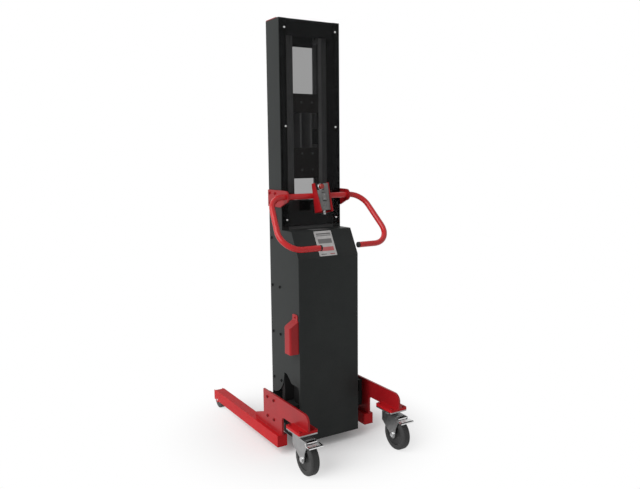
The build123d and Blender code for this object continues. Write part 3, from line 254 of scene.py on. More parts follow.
metals = {
    "railSteel": {
        "slot": "rail_steel", "dark": grey(0.165), "light": grey(0.245), "rough": 0.42, "roughSpread": 0.16,
        "streak": (1.0, 1.0, 0.05), "fine": 500.0, "cloud": 12.0, "bump": 0.06},
    "zinc": {
        "slot": "zinc", "dark": (0.295, 0.298, 0.300, 1), "light": (0.370, 0.373, 0.373, 1), "rough": 0.33,
        "streak": (1.0, 1.0, 0.25), "fine": 260.0, "cloud": 60.0},
    "chrome": {
        "slot": "chrome", "dark": grey(0.62), "light": grey(0.74), "rough": 0.13, "roughSpread": 0.08,
        "fine": 160.0, "cloud": 40.0, "bump": 0.02},
    "brightSteel": {
        "slot": "bright_steel", "dark": grey(0.50), "light": grey(0.66), "rough": 0.26, "roughSpread": 0.12,
        "fine": 700.0, "cloud": 90.0, "bump": 0.04},
    "darkSteel": {
        "slot": "dark_steel", "dark": grey(0.012), "light": grey(0.028), "rough": 0.40, "fine": 600.0,
        "cloud": 80.0},
}
plasticFamily = {"specular": 0.3, "cloud": 30.0, "scuff": 0.1, "bump": 0.10}
plastics = {
    "tyre": {
        "slot": "tyre", "dark": grey(0.027), "light": grey(0.038), "rough": 0.62, "specular": 0.24,
        "grain": 650.0, "cloud": 24.0, "scuff": 0.30, "scuffColour": grey(0.07), "bump": 0.15},
    "nylon": {
        "slot": "nylon", "dark": grey(0.023), "light": grey(0.031), "rough": 0.48, "specular": 0.25,
        "grain": 500.0, "scuff": 0.2, "scuffColour": grey(0.06), "bump": 0.06},
    "blackPlastic": {
        "slot": "black_plastic", "dark": grey(0.008), "light": grey(0.014), "rough": 0.5, "specular": 0.2,
        "grain": 800.0, "scuff": 0.12, "scuffColour": grey(0.05)},
    "batteryCase": {
        "slot": "battery_case", "dark": grey(0.006), "light": grey(0.009), "rough": 0.55, "specular": 0.1,
        "grain": 700.0, "cloud": 20.0, "scuffColour": grey(0.02)},
    "greyPlastic": {
        "slot": "grey_plastic", "dark": (0.145, 0.145, 0.142, 1), "light": (0.185, 0.185, 0.182, 1),
        "rough": 0.5, "grain": 900.0, "scuff": 0.15, "scuffColour": grey(0.28), "bump": 0.08},
    "paleMark": {
        "slot": "grey_plastic", "dark": grey(0.30), "light": grey(0.36), "rough": 0.5, "grain": 900.0,
        "cloud": 60.0, "scuffColour": grey(0.2), "bump": 0.04},
    "stopRed": {
        "slot": "stop_red", "dark": (0.235, 0.011, 0.006, 1), "light": (0.285, 0.016, 0.008, 1),
        "rough": 0.25, "specular": 0.45, "grain": 600.0, "cloud": 60.0, "scuffColour": (0.4, 0.12, 0.09, 1),
        "bump": 0.03},
    # Dark copy of the cabinet's plate for its folded end on the flat top: painted shade
    "flapSheet": {
        "slot": "bare_plate", "dark": grey(0.085), "light": grey(0.105), "rough": 0.8, "specular": 0.08,
        "grain": 500.0, "scuffColour": grey(0.14), "bump": 0.04},
    "belt": {
        "slot": "belt", "dark": grey(0.28), "light": grey(0.38), "rough": 0.55, "specular": 0.35,
        "grain": 900.0, "cloud": 14.0, "scuff": 0.25, "scuffColour": grey(0.12)},
}
smokedGuard = {"tint": (0.006, 0.0064, 0.0068, 1), "specular": 0.12, "rough": 0.05, "smear": 5.0,
               "clearZ": 0.98, "denseZ": 1.45, "clear": 0.415, "dense": 0.445}
slopeLow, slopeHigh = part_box("label_plate")
slopeSize = slopeHigh - slopeLow


# A bar on the cabinet's plate, by shares of its width and height
def plateBar(left, right, low, high, colour, ink=0.9):
    return {
        "across": (slopeLow.x + left * slopeSize.x, slopeLow.x + right * slopeSize.x),
        "height": (slopeLow.z + low * slopeSize.z, slopeLow.z + high * slopeSize.z),
        "colour": colour, "ink": ink,
    }


slopePlate = {
    "dark": (0.38, 0.372, 0.368, 1), "light": (0.455, 0.448, 0.44, 1), "rough": 0.4, "specular": 0.35,
    "cloud": 40.0, "softEdge": 0.3, "bars": [
        plateBar(0.10, 0.92, 0.86, 0.91, grey(0.06)), plateBar(0.10, 0.92, 0.795, 0.84, grey(0.16)),
        plateBar(0.12, 0.90, 0.50, 0.68, grey(0.05), 0.75),
        plateBar(0.12, 0.90, 0.20, 0.36, (0.42, 0.02, 0.025, 1), 0.8),
        plateBar(0.10, 0.42, 0.06, 0.095, grey(0.07)),
        plateBar(0.62, 0.90, 0.06, 0.095, (0.28, 0.02, 0.02, 1)),
    ]}
looks = {"smoked": smokedSheet("smoked", smokedGuard), "plate": printedPlate("plate", slopePlate)}
families = (
    (powderCoat, coatFamily, coats), (platedMetal, metalFamily, metals), (moulded, plasticFamily, plastics),
)
for makeLook, family, members in families:
    for name, look in members.items():
        looks[name] = makeLook(name, {**family, **look})
print("materials:", len(looks))


def settle(bm, name, finish, body, smoothAngle=38, replaces=()):
    bmesh.ops.recalc_face_normals(bm, faces=bm.faces)
    mesh = bpy.data.meshes.new(name)
    bm.to_mesh(mesh)
    bm.free()
    mesh.shade_smooth()
    mesh.set_sharp_from_angle(angle=math.radians(smoothAngle))
    mesh.materials.append(looks[finish])
    piece = bpy.data.objects.new(name, mesh)
    bpy.context.scene.collection.objects.link(piece)
    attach(piece, body)
    if replaces:
        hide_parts(*replaces)
    return piece


# Lowest and highest corners round some points
def extent(points):
    low = Vector([min(point[i] for point in points) for i in range(3)])
    high = Vector([max(point[i] for point in points) for i in range(3)])
    return low, high


def breakEdges(bm, edges, width):
    if edges and width:
        shape = {"segments": 2, "profile": 0.5, "affect": "EDGES", "clamp_overlap": True}
        bmesh.ops.bevel(bm, geom=edges, offset=width, **shape)


# Join the faces of one flat, then break the edges between the flats
def breakCorners(bm, width, flatAngle=0.6, cornerAngle=40):
    bmesh.ops.dissolve_limit(bm, angle_limit=math.radians(flatAngle), verts=bm.verts, edges=bm.edges)
    limit = math.radians(cornerAngle)
    breakEdges(bm, [e for e in bm.edges if len(e.link_faces) == 2 and e.calc_face_angle(0) > limit], width)


def nodeMesh(node):
    bm = bmesh.new()
    bm.from_mesh(nodes[node].data)
    bmesh.ops.remove_doubles(bm, verts=bm.verts, dist=sameSpot)
    return bm


# A CAD node with its folded and cut edges broken, shown in its place
def dress(node, finish, edge):
    bm = nodeMesh(node)
    breakCorners(bm, edge)
    piece = settle(bm, node + "_shown", finish, bodyOf[node], replaces=[node])
    piece.modifiers.new("evenNormals", "WEIGHTED_NORMAL").keep_sharp = True
    view = bpy.context.evaluated_depsgraph_get()
    fixed = bpy.data.meshes.new_from_object(piece.evaluated_get(view))
    piece.modifiers.clear()
    piece.data = fixed


# Boxes of the separate solids in a node
def solidsOf(node):
    bm = nodeMesh(node)
    left = set(bm.verts)
    found = []
    while left:
        group = [left.pop()]
        for vert in group:
            near = [edge.other_vert(vert) for edge in vert.link_edges]
            fresh = [other for other in near if other in left]
            left.difference_update(fresh)
            group.extend(fresh)
        found.append(extent([vert.co for vert in group]))
    bm.free()
    return sorted(found, key=lambda pair: tuple(round(c, 4) for c in pair[0]))


# A node's lowest and highest corners in a place's own axes
def boxWithin(node, place):
    back = place.inverted()
    return extent([back @ vert.co for vert in nodes[node].data.vertices])


def aim(point, direction):
    return Matrix.Translation(point) @ Vector(direction).to_track_quat("Z", "Y").to_matrix().to_4x4()


# Place, radius and half length in millimetres of a round node that lies across
def roundAcross(node):
    low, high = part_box(node)
    return aim((low + high) / 2, acrossAxis), (high.z - low.z) / 2 / mm, (high.x - low.x) / 2 / mm


def placeWith(xAxis, yAxis, zAxis, origin):
    place = Matrix((xAxis, yAxis, zAxis)).transposed().to_4x4()
    place.translation = origin
    return place


# Turn (radius, height) pairs about local +Z; a third value of True makes a ring a hexagon over its flats
def lathe(bm, profile, place, steps=36, closed=False):
    sixth = math.tau / 6
    rings = []
    for radius, height, *hexagon in profile:
        if radius < sameSpot:
            rings.append([bm.verts.new(place @ Vector((0, 0, height)))] * steps)
            continue
        ring = []
        for i in range(steps):
            turn = math.tau * i / steps
            flat = math.cos((turn + sixth / 2) % sixth - sixth / 2) if hexagon else 1.0
            reach = radius / flat
            spot = Vector((reach * math.cos(turn), reach * math.sin(turn), height))
            ring.append(bm.verts.new(place @ spot))
        rings.append(ring)
    pairs = list(zip(rings, rings[1:]))
    if closed:
        pairs.append((rings[-1], rings[0]))
    for lower, upper in pairs:
        for i in range(steps):
            j = (i + 1) % steps
            corners = list(dict.fromkeys((lower[i], lower[j], upper[j], upper[i])))
            if len(corners) > 2:
                bm.faces.new(corners)


def inMetres(profile):
    return [(radius * mm, height * mm, *hexagon) for radius, height, *hexagon in profile]


# The rest of a profile that is the same on both sides of height 0
def flip(profile):
    return [(radius, -height, *hexagon) for radius, height, *hexagon in reversed(profile)]


# A piece turned from a profile in millimetres
def turnPiece(name, finish, body, profile, place, steps=36, closed=False, replaces=()):
    bm = bmesh.new()
    lathe(bm, inMetres(profile), place, steps, closed)
    settle(bm, name, finish, body, replaces=replaces)


def block(bm, low, high, place=None, edge=0.0):
    middle = (Vector(low) + Vector(high)) / 2
    size = Vector(high) - Vector(low)
    stretch = Matrix.Translation(middle) @ Matrix.Diagonal((*size, 1))
    made = bmesh.ops.create_cube(bm, size=1.0, matrix=(place or Matrix()) @ stretch)
    breakEdges(bm, list(dict.fromkeys(e for v in made["verts"] for e in v.link_edges)), edge)


# A flat outline in a place's x and y, thickened along its z, with broken edges
def slab(bm, outline, low, high, place, edge=0.0):
    rims = [[bm.verts.new(place @ Vector((x, y, z))) for x, y in outline] for z in (low, high)]
    faces = [bm.faces.new(list(reversed(rims[0]))), bm.faces.new(rims[1])]
    count = len(outline)
    for i in range(count):
        j = (i + 1) % count
        faces.append(bm.faces.new((rims[0][i], rims[0][j], rims[1][j], rims[1][i])))
    breakEdges(bm, list(dict.fromkeys(e for face in faces for e in face.edges)), edge)


# Sheet and plate nodes keep their shape, with broken edges in millimetres
sheetParts = {
    "blackCoat": {"left_upright": 1.0, "right_upright": 1.0, "mast_head": 0.8, "base_tray": 0.8,
                  "rear_cabinet": 0.7, "chassis_arms": 1.6, "rail_brackets": 0.8},
    # the plate behind the guard takes the lighter black, painted light
    "backCoat": {"mast_back_plate": 0.6},
    "carriageCoat": {"carriage_plate": 1.0},
    # the carriage cross plates take the brown black coat, painted reflection
    "crossCoat": {"carriage_cross_plates": 0.8},
    "redCoat": {"top_cap": 0.8, "socket_hood": 1.0, "side_plates": 1.0, "control_bracket": 0.8,
                "handle_brackets": 1.0},
    # legs and caster flanges take the brighter red, painted light
    "legRed": {"caster_flanges": 1.2, "left_leg": 1.1, "right_leg": 1.1},
    # the handle tube takes the brighter red, painted light
    "handleRed": {"handle_tube": 0.5},
    "railSteel": {"guide_rails": 0.9},
    "smoked": {"rear_guard": 0.5},
    "zinc": {"caster_top_plates": 0.7, "left_caster_fork": 0.8, "right_caster_fork": 0.8,
             "idler_bracket": 0.5},
    "chrome": {"left_brake_pedal": 0.7, "right_brake_pedal": 0.7},
    "blackPlastic": {"limit_switch_box": 1.2, "motor_controller": 1.0, "grip_caps": 0.6, "control_box": 1.0},
    "brightSteel": {"load_roller_axles": 0.5, "idler_shaft": 0.5, "carriage_roller_pins": 0.6},
    "darkSteel": {"belt_clamp": 0.6},
    "greyPlastic": {"key_switch": 0.3},
    "plate": {"label_plate": 0.15},
}
for finish, group in sheetParts.items():
    for node, edge in group.items():
        dress(node, finish, edge * mm)
print("dressed nodes:", sum(len(group) for group in sheetParts.values()))

# Screws and bolts: round heads with a hexagon socket, painted over where they sit on a painted joint; heads
# on the side plates take a darker red, painted shade
fasteners = {
    "panel_screws": {"finish": "brightSteel", "socket": 0.48, "dome": 0.82},
    "carriage_bolts": {"finish": "railSteel", "socket": 0.54, "dome": 0.9},
    "frame_bolts": {"finish": "darkSteel", "socket": 0.54, "dome": 0.88, "onRed": "redCoat",
                    "onPlate": "shadeRed"},
}
boltHead = {
    "height": 0.58, "shank": 0.5, "tailGap": 0.3,  # shares of the head's radius
    "flank": ((0.98, 1.0), (1.0, 0.7), (0.94, 0.3)), "domeDrop": 0.08,  # shares of radius and height
    "socket": ((1.15, 0.0), (0.9, 0.0, True), (0.85, 0.6, True)), "socketFloor": 0.68,
    "sidePlateGap": 20.0,  # from the mast's side, past which a bolt sits on a side plate
}
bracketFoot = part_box("handle_brackets")[0].z
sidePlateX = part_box("right_upright")[1].x + boltHead["sidePlateGap"] * mm
for node, shape in fasteners.items():
    heads = {}
    for low, high in solidsOf(node):
        size = high - low
        middle = (low + high) / 2
        along = max(range(3), key=lambda i: size[i])
        head = size[(along + 1) % 3] / 2
        outward = Vector((0, 0, 0))
        if along == 0:
            outward.x = math.copysign(1, middle.x)
        else:
            outward[along] = -1 if along == 1 else 1
        finish = shape["finish"]
        if along == 2 or middle.z > bracketFoot:
            finish = shape.get("onRed", finish)
        # bolt heads on a side plate: darker red, painted shade
        elif abs(middle.x) > sidePlateX:
            finish = shape.get("onPlate", finish)
        height, rim = head * boltHead["height"], head * shape["socket"]
        shank, tail = head * boltHead["shank"], head * boltHead["tailGap"] - size[along]
        profile = [(0, tail), (shank, tail), (shank, -height)]
        profile += [(head * out, -height * down) for out, down in boltHead["flank"]]
        profile.append((head * shape["dome"], -height * boltHead["domeDrop"]))
        profile += [(rim * out, -height * down, *hexagon) for out, down, *hexagon in boltHead["socket"]]
        profile.append((0, -height * boltHead["socketFloor"]))
        if finish not in heads:
            heads[finish] = bmesh.new()
        lathe(heads[finish], profile, aim(middle + outward * size[along] / 2, outward))
    for finish, bm in heads.items():
        plain = finish == shape["finish"]
        name = node + ("_shown" if plain else "_" + finish)
        settle(bm, name, finish, bodyOf[node], replaces=[node] if plain else ())
print("fasteners done")

# Caster wheels: tyre with shallow tread rings on a dished hub, and the axle with its nut and washers
wheel = {
    "half": 18.0, "rim": 42.5, "web": 11.0, "hub": 12.6, "hubRound": 0.8, "bore": 6.1,
    "rings": (-7.0, 0.0, 7.0), "ringHalf": 0.7, "ringTop": 1.4, "ringDepth": 0.6,
    "lip": ((0.0, 1.5), (2.0, 0.4)),  # out from the rim, in from the side
    # below the tread, out from the middle
    "shoulder": ((9.0, 17.9), (5.2, 16.9), (2.2, 14.7), (0.6, 11.8), (0.0, 10.0)),
    "webFoot": ((0.4, 2.0), (2.5, 0.0)),  # out from the hub, above the web
    "webRim": ((5.0, 0.0), (2.0, 1.5)),  # in from the rim, above the web
    "rimSeat": ((0.6, 1.6), (0.0, 1.4)),  # in from the rim, in from the side
}
axle = {"shank": 6.0, "nut": 8.0, "nutHeight": 6.0, "nutRound": (0.9, 0.2), "chamfer": 0.7, "tip": 5.0,
        "washer": 9.4, "washerThick": 0.6}
for side in ("left", "right"):
    body = side + "_caster_wheel"
    place, radius, hubHalf = roundAcross(body)
    rim, half, web, hub = wheel["rim"], wheel["half"], wheel["web"], wheel["hub"]
    flank = [(rim + out, inward - half) for out, inward in wheel["lip"]]
    flank += [(radius - drop, -off) for drop, off in wheel["shoulder"]]
    tread = []
    ringFloor, ringHalf = radius - wheel["ringDepth"], wheel["ringHalf"]
    ringTop = ringHalf * wheel["ringTop"]
    for ring in wheel["rings"]:
        tread += [(radius, ring - ringTop), (ringFloor, ring - ringHalf)]
        tread += [(ringFloor, ring + ringHalf), (radius, ring + ringTop)]
    turnPiece(side + "_caster_tyre", "tyre", body, flank + tread + flip(flank), place, 84, True, [body])
    hubRound = wheel["hubRound"]
    dish = [(wheel["bore"], -hubHalf), (hub - hubRound, -hubHalf), (hub, hubRound - hubHalf)]
    dish += [(hub + out, -web - above) for out, above in wheel["webFoot"]]
    dish += [(rim - inward, -web - above) for inward, above in wheel["webRim"]]
    dish += [(rim - inward, depth - half) for inward, depth in wheel["rimSeat"]]
    turnPiece(side + "_caster_hub", "nylon", body, dish + flip(dish), place, 72, True)
    node = side + "_caster_axle"
    place, _, end = roundAcross(node)
    seat = end - axle["nutHeight"]
    nut, washer, face = axle["nut"], axle["washer"], seat + axle["washerThick"]
    roundIn, roundDown = axle["nutRound"]
    tip = [(0, -end), (axle["tip"], -end), (nut - roundIn, roundDown - end),
           (nut, axle["chamfer"] - end, True), (nut, -face, True), (washer, -face), (washer, -seat),
           (axle["shank"], -seat)]
    turnPiece(node + "_shown", "brightSteel", bodyOf[node], tip + flip(tip), place, replaces=[node])

# Swivel race of each caster: two pressed rings with the ball track's groove between them
race = {"inner": 20.0, "outer": 29.6, "groove": 28.2, "clear": 0.6, "half": 5.7, "round": (0.8, 1.2),
        "grooveEdge": (0.3, 1.6), "grooveFloor": 0.6}
for side in ("left", "right"):
    middle = Vector(jointOf[side + "_caster_swivel"]["pos_m"])
    middle.z -= (race["clear"] + race["half"]) * mm
    outer, half = race["outer"], race["half"]
    roundIn, roundUp = race["round"]
    edgeIn, edgeOff = race["grooveEdge"]
    lower = [(race["inner"], -half), (outer - roundIn, -half), (outer, roundUp - half),
             (outer - edgeIn, -edgeOff), (race["groove"], -race["grooveFloor"])]
    place = Matrix.Translation(middle)
    turnPiece(side + "_caster_race", "zinc", side + "_caster", lower + flip(lower), place, 48, True)

# Brake pedals: raised grip bars and a black tip
pedal = {"plate": 4.0, "bars": (0.38, 0.56, 0.74), "barHalf": 23.0, "barWidth": 2.4, "barRise": 1.0,
         "barSink": 0.3, "barEdge": 0.4, "tipLength": 7.0, "tipHalf": 30.0, "tipGap": 0.3, "tipCover": 0.9,
         "tipEdge": 0.8}
for side in ("left", "right"):
    body = side + "_brake_pedal"
    low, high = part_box(body)
    pivot = Vector(jointOf[body + "_press"]["pos_m"])
    half = pedal["plate"] / 2
    run = Vector((pivot.x, low.y, low.z + half * mm)) - pivot
    reach = run.length / mm
    outAxis = run.normalized()
    place = placeWith(acrossAxis, outAxis, outAxis.cross(acrossAxis), pivot)
    across, width, edge = pedal["barHalf"], pedal["barWidth"], pedal["barEdge"] * mm
    bm = bmesh.new()
    for share in pedal["bars"]:
        middle = share * reach
        block(bm, Vector((-across, middle - width / 2, half - pedal["barSink"])) * mm,
              Vector((across, middle + width / 2, half + pedal["barRise"])) * mm, place, edge)
    settle(bm, side + "_pedal_bars", "chrome", body)
    across, cover = pedal["tipHalf"], half + pedal["tipCover"]
    bm = bmesh.new()
    block(bm, Vector((-across, reach - pedal["tipLength"], -cover)) * mm,
          Vector((across, reach - pedal["tipGap"], cover)) * mm, place, pedal["tipEdge"] * mm)
    settle(bm, side + "_pedal_tip", "blackPlastic", body)
print("casters done")

# Load and guide rollers: a rim with a shallow groove on a steel bearing
rollerSizes = {"load": {"bearing": 14.0, "seat": 1.2, "corner": 3.0, "groove": 0.5, "bore": 5.1},
               "guide": {"bearing": 12.5, "seat": 1.0, "corner": 2.0, "groove": 0.4, "bore": 8.1}}
rollerShape = {"lip": (1.5, 2.5), "cornerCut": 0.3, "grooveHalf": (2.2, 1.6), "bearingGap": 0.4,
               "innerRing": (1.6, 2.0), "outerRing": (1.4, 1.8), "sealDrop": 0.6}
for node in [name for name in nodes if name.endswith(("_load_roller", "_guide_roller"))]:
    roller = rollerSizes["load" if "load" in node else "guide"]
    place, radius, half = roundAcross(node)
    core, seat, corner = roller["bearing"], half - roller["seat"], roller["corner"]
    lipFoot, lipTop = rollerShape["lip"]
    grooveTop, grooveFloor = rollerShape["grooveHalf"]
    cut = corner * rollerShape["cornerCut"]
    rim = [(core, -seat), (core + lipFoot, -seat), (core + lipTop, -half), (radius - corner, -half),
           (radius - cut, cut - half), (radius, corner - half), (radius, -grooveTop),
           (radius - roller["groove"], -grooveFloor)]
    turnPiece(node + "_shown", "nylon", bodyOf[node], rim + flip(rim), place, 64, True, [node])
    bore, face = roller["bore"], seat - rollerShape["bearingGap"]
    sealFace = face - rollerShape["sealDrop"]
    (innerRing, sealIn), (outerRing, sealOut) = rollerShape["innerRing"], rollerShape["outerRing"]
    bearing = [(bore, -face), (bore + innerRing, -face), (bore + sealIn, -sealFace),
               (core - sealOut, -sealFace), (core - outerRing, -face), (core, -face)]
    turnPiece(node + "_bearing", "brightSteel", bodyOf[node], bearing + flip(bearing), place, 40, True)
print("rollers done")

# Toothed belt and pulleys
beltShape = {"thick": 2.5, "back": 1.2, "pitch": 5.0, "toothShare": 0.5, "flankShare": 0.04}
low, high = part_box("lift_belt")
beltMiddle = ((low + high) / 2).yz
innerRadius = (high.y - low.y) / 2 - beltShape["thick"] * mm
straight = high.z - low.z - (high.y - low.y)
halfLoop = straight + math.pi * innerRadius
teeth = round(2 * halfLoop / (beltShape["pitch"] * mm))


# Point on the belt's inner line and its outward direction, a share of the way round
def beltPoint(share):
    run = (share % 1.0) * 2 * halfLoop
    side = 1 if run < halfLoop else -1  # the second half is the first one turned round
    run %= halfLoop
    turn = max(0, run - straight) / innerRadius
    out = Vector((math.cos(turn), math.sin(turn))) * side
    rise = Vector((0, min(run, straight) - straight / 2)) * side
    return beltMiddle + rise + out * innerRadius, out


bm = bmesh.new()
rows = []
toothShare, flankShare = beltShape["toothShare"], beltShape["flankShare"]
for i in range(teeth):
    for start, depth in ((0.0, 0.0), (toothShare, beltShape["thick"] - beltShape["back"])):
        for nudge in (flankShare, toothShare - flankShare):
            point, out = beltPoint((i + start + nudge) / teeth)
            faces = [point + out * height * mm for height in (depth, beltShape["thick"])]
            rows.append([bm.verts.new((x, *spot)) for spot in faces for x in (low.x, high.x)])
for row, after in zip(rows, rows[1:] + rows[:1]):
    for a, b in ((0, 1), (1, 3), (3, 2), (2, 0)):
        bm.faces.new((row[a], row[b], after[b], after[a]))
settle(bm, "lift_belt_shown", "belt", bodyOf["lift_belt"], replaces=["lift_belt"])

pulley = {
    "teeth": 21, "tooth": ((0.0, 0), (0.42, 0), (0.54, 1), (0.88, 1)),  # share of the pitch, 1 in the gap
    "toothDepth": 1.1, "drum": 17.0, "boss": 10.0, "flange": 1.3, "flangeRound": (1.0, 0.5),
    "flangeFoot": 1.0, "shaft": 6.0, "shaftRound": 0.6,
}
for node in ("idler_pulley", "drive_pulley"):
    low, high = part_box(node)
    middle = Vector(jointOf[node + "_spin"]["pos_m"])
    place = aim(middle, acrossAxis)
    flangeRadius = (high.z - low.z) / 2 / mm
    half = (high.x - middle.x) / mm
    shaftEnd = (middle.x - low.x) / mm
    outline = []
    for i in range(pulley["teeth"]):
        for share, drop in pulley["tooth"]:
            turn = math.tau * (i + share) / pulley["teeth"]
            reach = (pulley["drum"] - drop * pulley["toothDepth"]) * mm
            outline.append((reach * math.cos(turn), reach * math.sin(turn)))
    bm = bmesh.new()
    slab(bm, outline, -half * mm, half * mm, place)
    roundIn, roundDown = pulley["flangeRound"]
    foot = pulley["drum"] - pulley["flangeFoot"]
    for end in (-1, 1):
        face = [(pulley["boss"], end * half), (flangeRadius - roundIn, end * half),
                (flangeRadius, end * (half - roundDown)), (foot, end * (half - pulley["flange"]))]
        lathe(bm, inMetres(face), place, steps=48)
    if shaftEnd > half + pulley["flange"]:
        shaft, shaftRound = pulley["shaft"], pulley["shaftRound"]
        lathe(bm, inMetres([(shaft, -half), (shaft, shaftRound - shaftEnd), (shaft - shaftRound, -shaftEnd),
                            (0, -shaftEnd)]), place)
    settle(bm, node + "_shown", "zinc", bodyOf[node], replaces=[node])
print("belt teeth:", teeth)

# Control station: the panel's own axes are across, up and out, from the key's middle
keyJoint = jointOf["key_switch_turn"]
panelOut = Vector(keyJoint["axis"])
panelUp = panelOut.cross(acrossAxis)
panel = placeWith(acrossAxis, panelUp, panelOut, keyJoint["pos_m"])
boxLow, boxHigh = boxWithin("control_box", panel)
rockLow, rockHigh = boxWithin("lift_rocker", panel)
stopLow, stopHigh = boxWithin("emergency_stop", panel)
rocker = {"pinLength": 4.0, "gap": 0.6, "endGap": 2.0, "foot": 3.0, "dip": 2.0, "edge": 0.6, "corner": 1.2,
          "cornerDrop": 0.3}
facePlate = {"margin": 1.0, "thick": 1.2, "stopRoom": 2.5, "edge": 0.4}
margin, stopRoom = facePlate["margin"] * mm, facePlate["stopRoom"] * mm
gap, endGap = rocker["gap"] * mm, rocker["endGap"] * mm
rockLeft, rockRight = rockLow.x + rocker["pinLength"] * mm, rockHigh.x - rocker["pinLength"] * mm
columns = [boxLow.x + margin, rockLeft - gap, stopHigh.x + stopRoom, rockRight + gap, boxHigh.x - margin]
rows = [boxLow.y + margin, rockLow.y - endGap, rockHigh.y + endGap, stopLow.y - stopRoom, boxHigh.y - margin]
bm = bmesh.new()
grid = [[bm.verts.new(panel @ Vector((x, y, 0))) for x in columns] for y in rows]
cells = []
for j in range(len(rows) - 1):
    for i in range(len(columns) - 1):
        forRocker = j == 1 and i in (1, 2)
        forStop = j == 3 and i in (0, 1)
        if not forRocker and not forStop:
            cells.append(bm.faces.new((grid[j][i], grid[j][i + 1], grid[j + 1][i + 1], grid[j + 1][i])))
grown = bmesh.ops.extrude_face_region(bm, geom=cells)
lifted = [v for v in grown["geom"] if isinstance(v, bmesh.types.BMVert)]
bmesh.ops.translate(bm, verts=lifted, vec=panelOut * facePlate["thick"] * mm)
bmesh.ops.delete(bm, geom=[v for v in bm.verts if not v.link_faces], context="VERTS")
bmesh.ops.recalc_face_normals(bm, faces=bm.faces)
breakCorners(bm, facePlate["edge"] * mm, flatAngle=1.0)
settle(bm, "control_face", "greyPlastic", "chassis")

rockMiddle = (rockLow.y + rockHigh.y) / 2
rockHalf = (rockHigh.y - rockLow.y) / 2
top, foot = rockHigh.z, -rocker["foot"] * mm
dip, corner, cornerDrop = (rocker[key] * mm for key in ("dip", "corner", "cornerDrop"))
sideView = placeWith(panelUp, panelOut, acrossAxis, panel @ Vector((0, rockMiddle, 0)))
outline = [(-rockHalf, foot), (rockHalf, foot), (rockHalf, top - cornerDrop), (rockHalf - corner, top),
           (0, top - dip), (corner - rockHalf, top), (-rockHalf, top - cornerDrop)]
bm = bmesh.new()
slab(bm, outline, rockLeft, rockRight, sideView, rocker["edge"] * mm)
settle(bm, "lift_rocker_shown", "greyPlastic", "lift_rocker", replaces=["lift_rocker"])
mark = {"reach": 8.5, "half": 3.0, "foot": 0.6, "tip": 0.9, "level": 0.45, "sink": 0.5, "rise": 0.4}
bm = bmesh.new()
lean = math.atan2(dip, rockHalf)
half = mark["half"] * mm
for end in (-1, 1):
    markY = rockMiddle + end * mark["reach"] * mm
    spot = panel @ Vector(((rockLeft + rockRight) / 2, markY, top - dip * mark["level"]))
    turned = Matrix.Translation(spot) @ panel.to_3x3().to_4x4() @ Matrix.Rotation(end * lean, 4, "X")
    markFoot, markTip = -end * half * mark["foot"], end * half * mark["tip"]
    arrow = [(-half, markFoot), (half, markFoot), (0, markTip)]
    slab(bm, arrow[::end], -mark["sink"] * mm, mark["rise"] * mm, turned)
settle(bm, "lift_rocker_marks", "paleMark", "lift_rocker")

stop = {
    "stem": 4.9, "stemDepth": 10.0, "head": 10.0, "rest": 4.5,
    "skirt": ((1.4, 0.1), (0.2, 1.0), (0.0, 2.6)),  # in from the head's side, above its rest
    "crown": ((0.1, 4.6), (0.8, 2.4), (2.4, 0.8), (5.0, 0.15)),  # in from the head's side, below its top
}
stopPlace = panel @ Matrix.Translation(((stopLow.x + stopHigh.x) / 2, (stopLow.y + stopHigh.y) / 2, 0))
stopTop = stopHigh.z / mm
stem, stemDepth, head, rest = stop["stem"], stop["stemDepth"], stop["head"], stop["rest"]
profile = [(0, -stemDepth), (stem, -stemDepth), (stem, rest + stop["skirt"][0][1])]
profile += [(head - inward, rest + above) for inward, above in stop["skirt"]]
profile += [(head - inward, stopTop - below) for inward, below in stop["crown"]]
profile.append((0, stopTop))
turnPiece("emergency_stop_shown", "stopRed", "emergency_stop", profile, stopPlace, 48,
          replaces=["emergency_stop"])
collar = {"inner": 10.6, "outer": 12.2, "height": 2.4, "taper": (0.2, 0.6), "round": 0.8, "lip": (0.2, 0.3)}
inner, outer, rise = collar["inner"], collar["outer"], collar["height"]
(taperIn, taperDown), (lipOut, lipDown) = collar["taper"], collar["lip"]
profile = [(inner, 0), (outer, 0), (outer - taperIn, rise - taperDown), (outer - collar["round"], rise),
           (inner + lipOut, rise), (inner, rise - lipDown)]
turnPiece("stop_collar", "chrome", "chassis", profile, stopPlace, 48, True)

gland = {
    "flange": 7.6, "flangeThick": 1.0, "nut": 6.8, "nutFoot": 1.2, "nutEnd": 0.45, "dome": 6.0,
    "domeShape": ((0.4, 0.5), (0.0, 0.56), (0.0, 0.8), (0.9, 0.94)),  # in from the dome, share of the length
    "mouth": 2.8, "mouthLip": 0.8, "mouthFloor": 0.75,
}
glandLow, glandHigh = boxWithin("cable_gland", panel)
glandTop = Vector(((glandLow.x + glandHigh.x) / 2, glandHigh.y, (glandLow.z + glandHigh.z) / 2))
length = (glandHigh.y - glandLow.y) / mm
flange, nut, mouth, floorAt = gland["flange"], gland["nut"], gland["mouth"], length * gland["mouthFloor"]
profile = [(0, 0), (flange, 0), (flange, gland["flangeThick"]), (nut, gland["nutFoot"], True),
           (nut, length * gland["nutEnd"], True)]
profile += [(gland["dome"] - inward, length * share) for inward, share in gland["domeShape"]]
profile += [(mouth + gland["mouthLip"], length), (mouth, length), (mouth, floorAt), (0, floorAt)]
place = aim(panel @ glandTop, -panelUp)
turnPiece("cable_gland_shown", "zinc", "chassis", profile, place, replaces=["cable_gland"])
print("control station done")

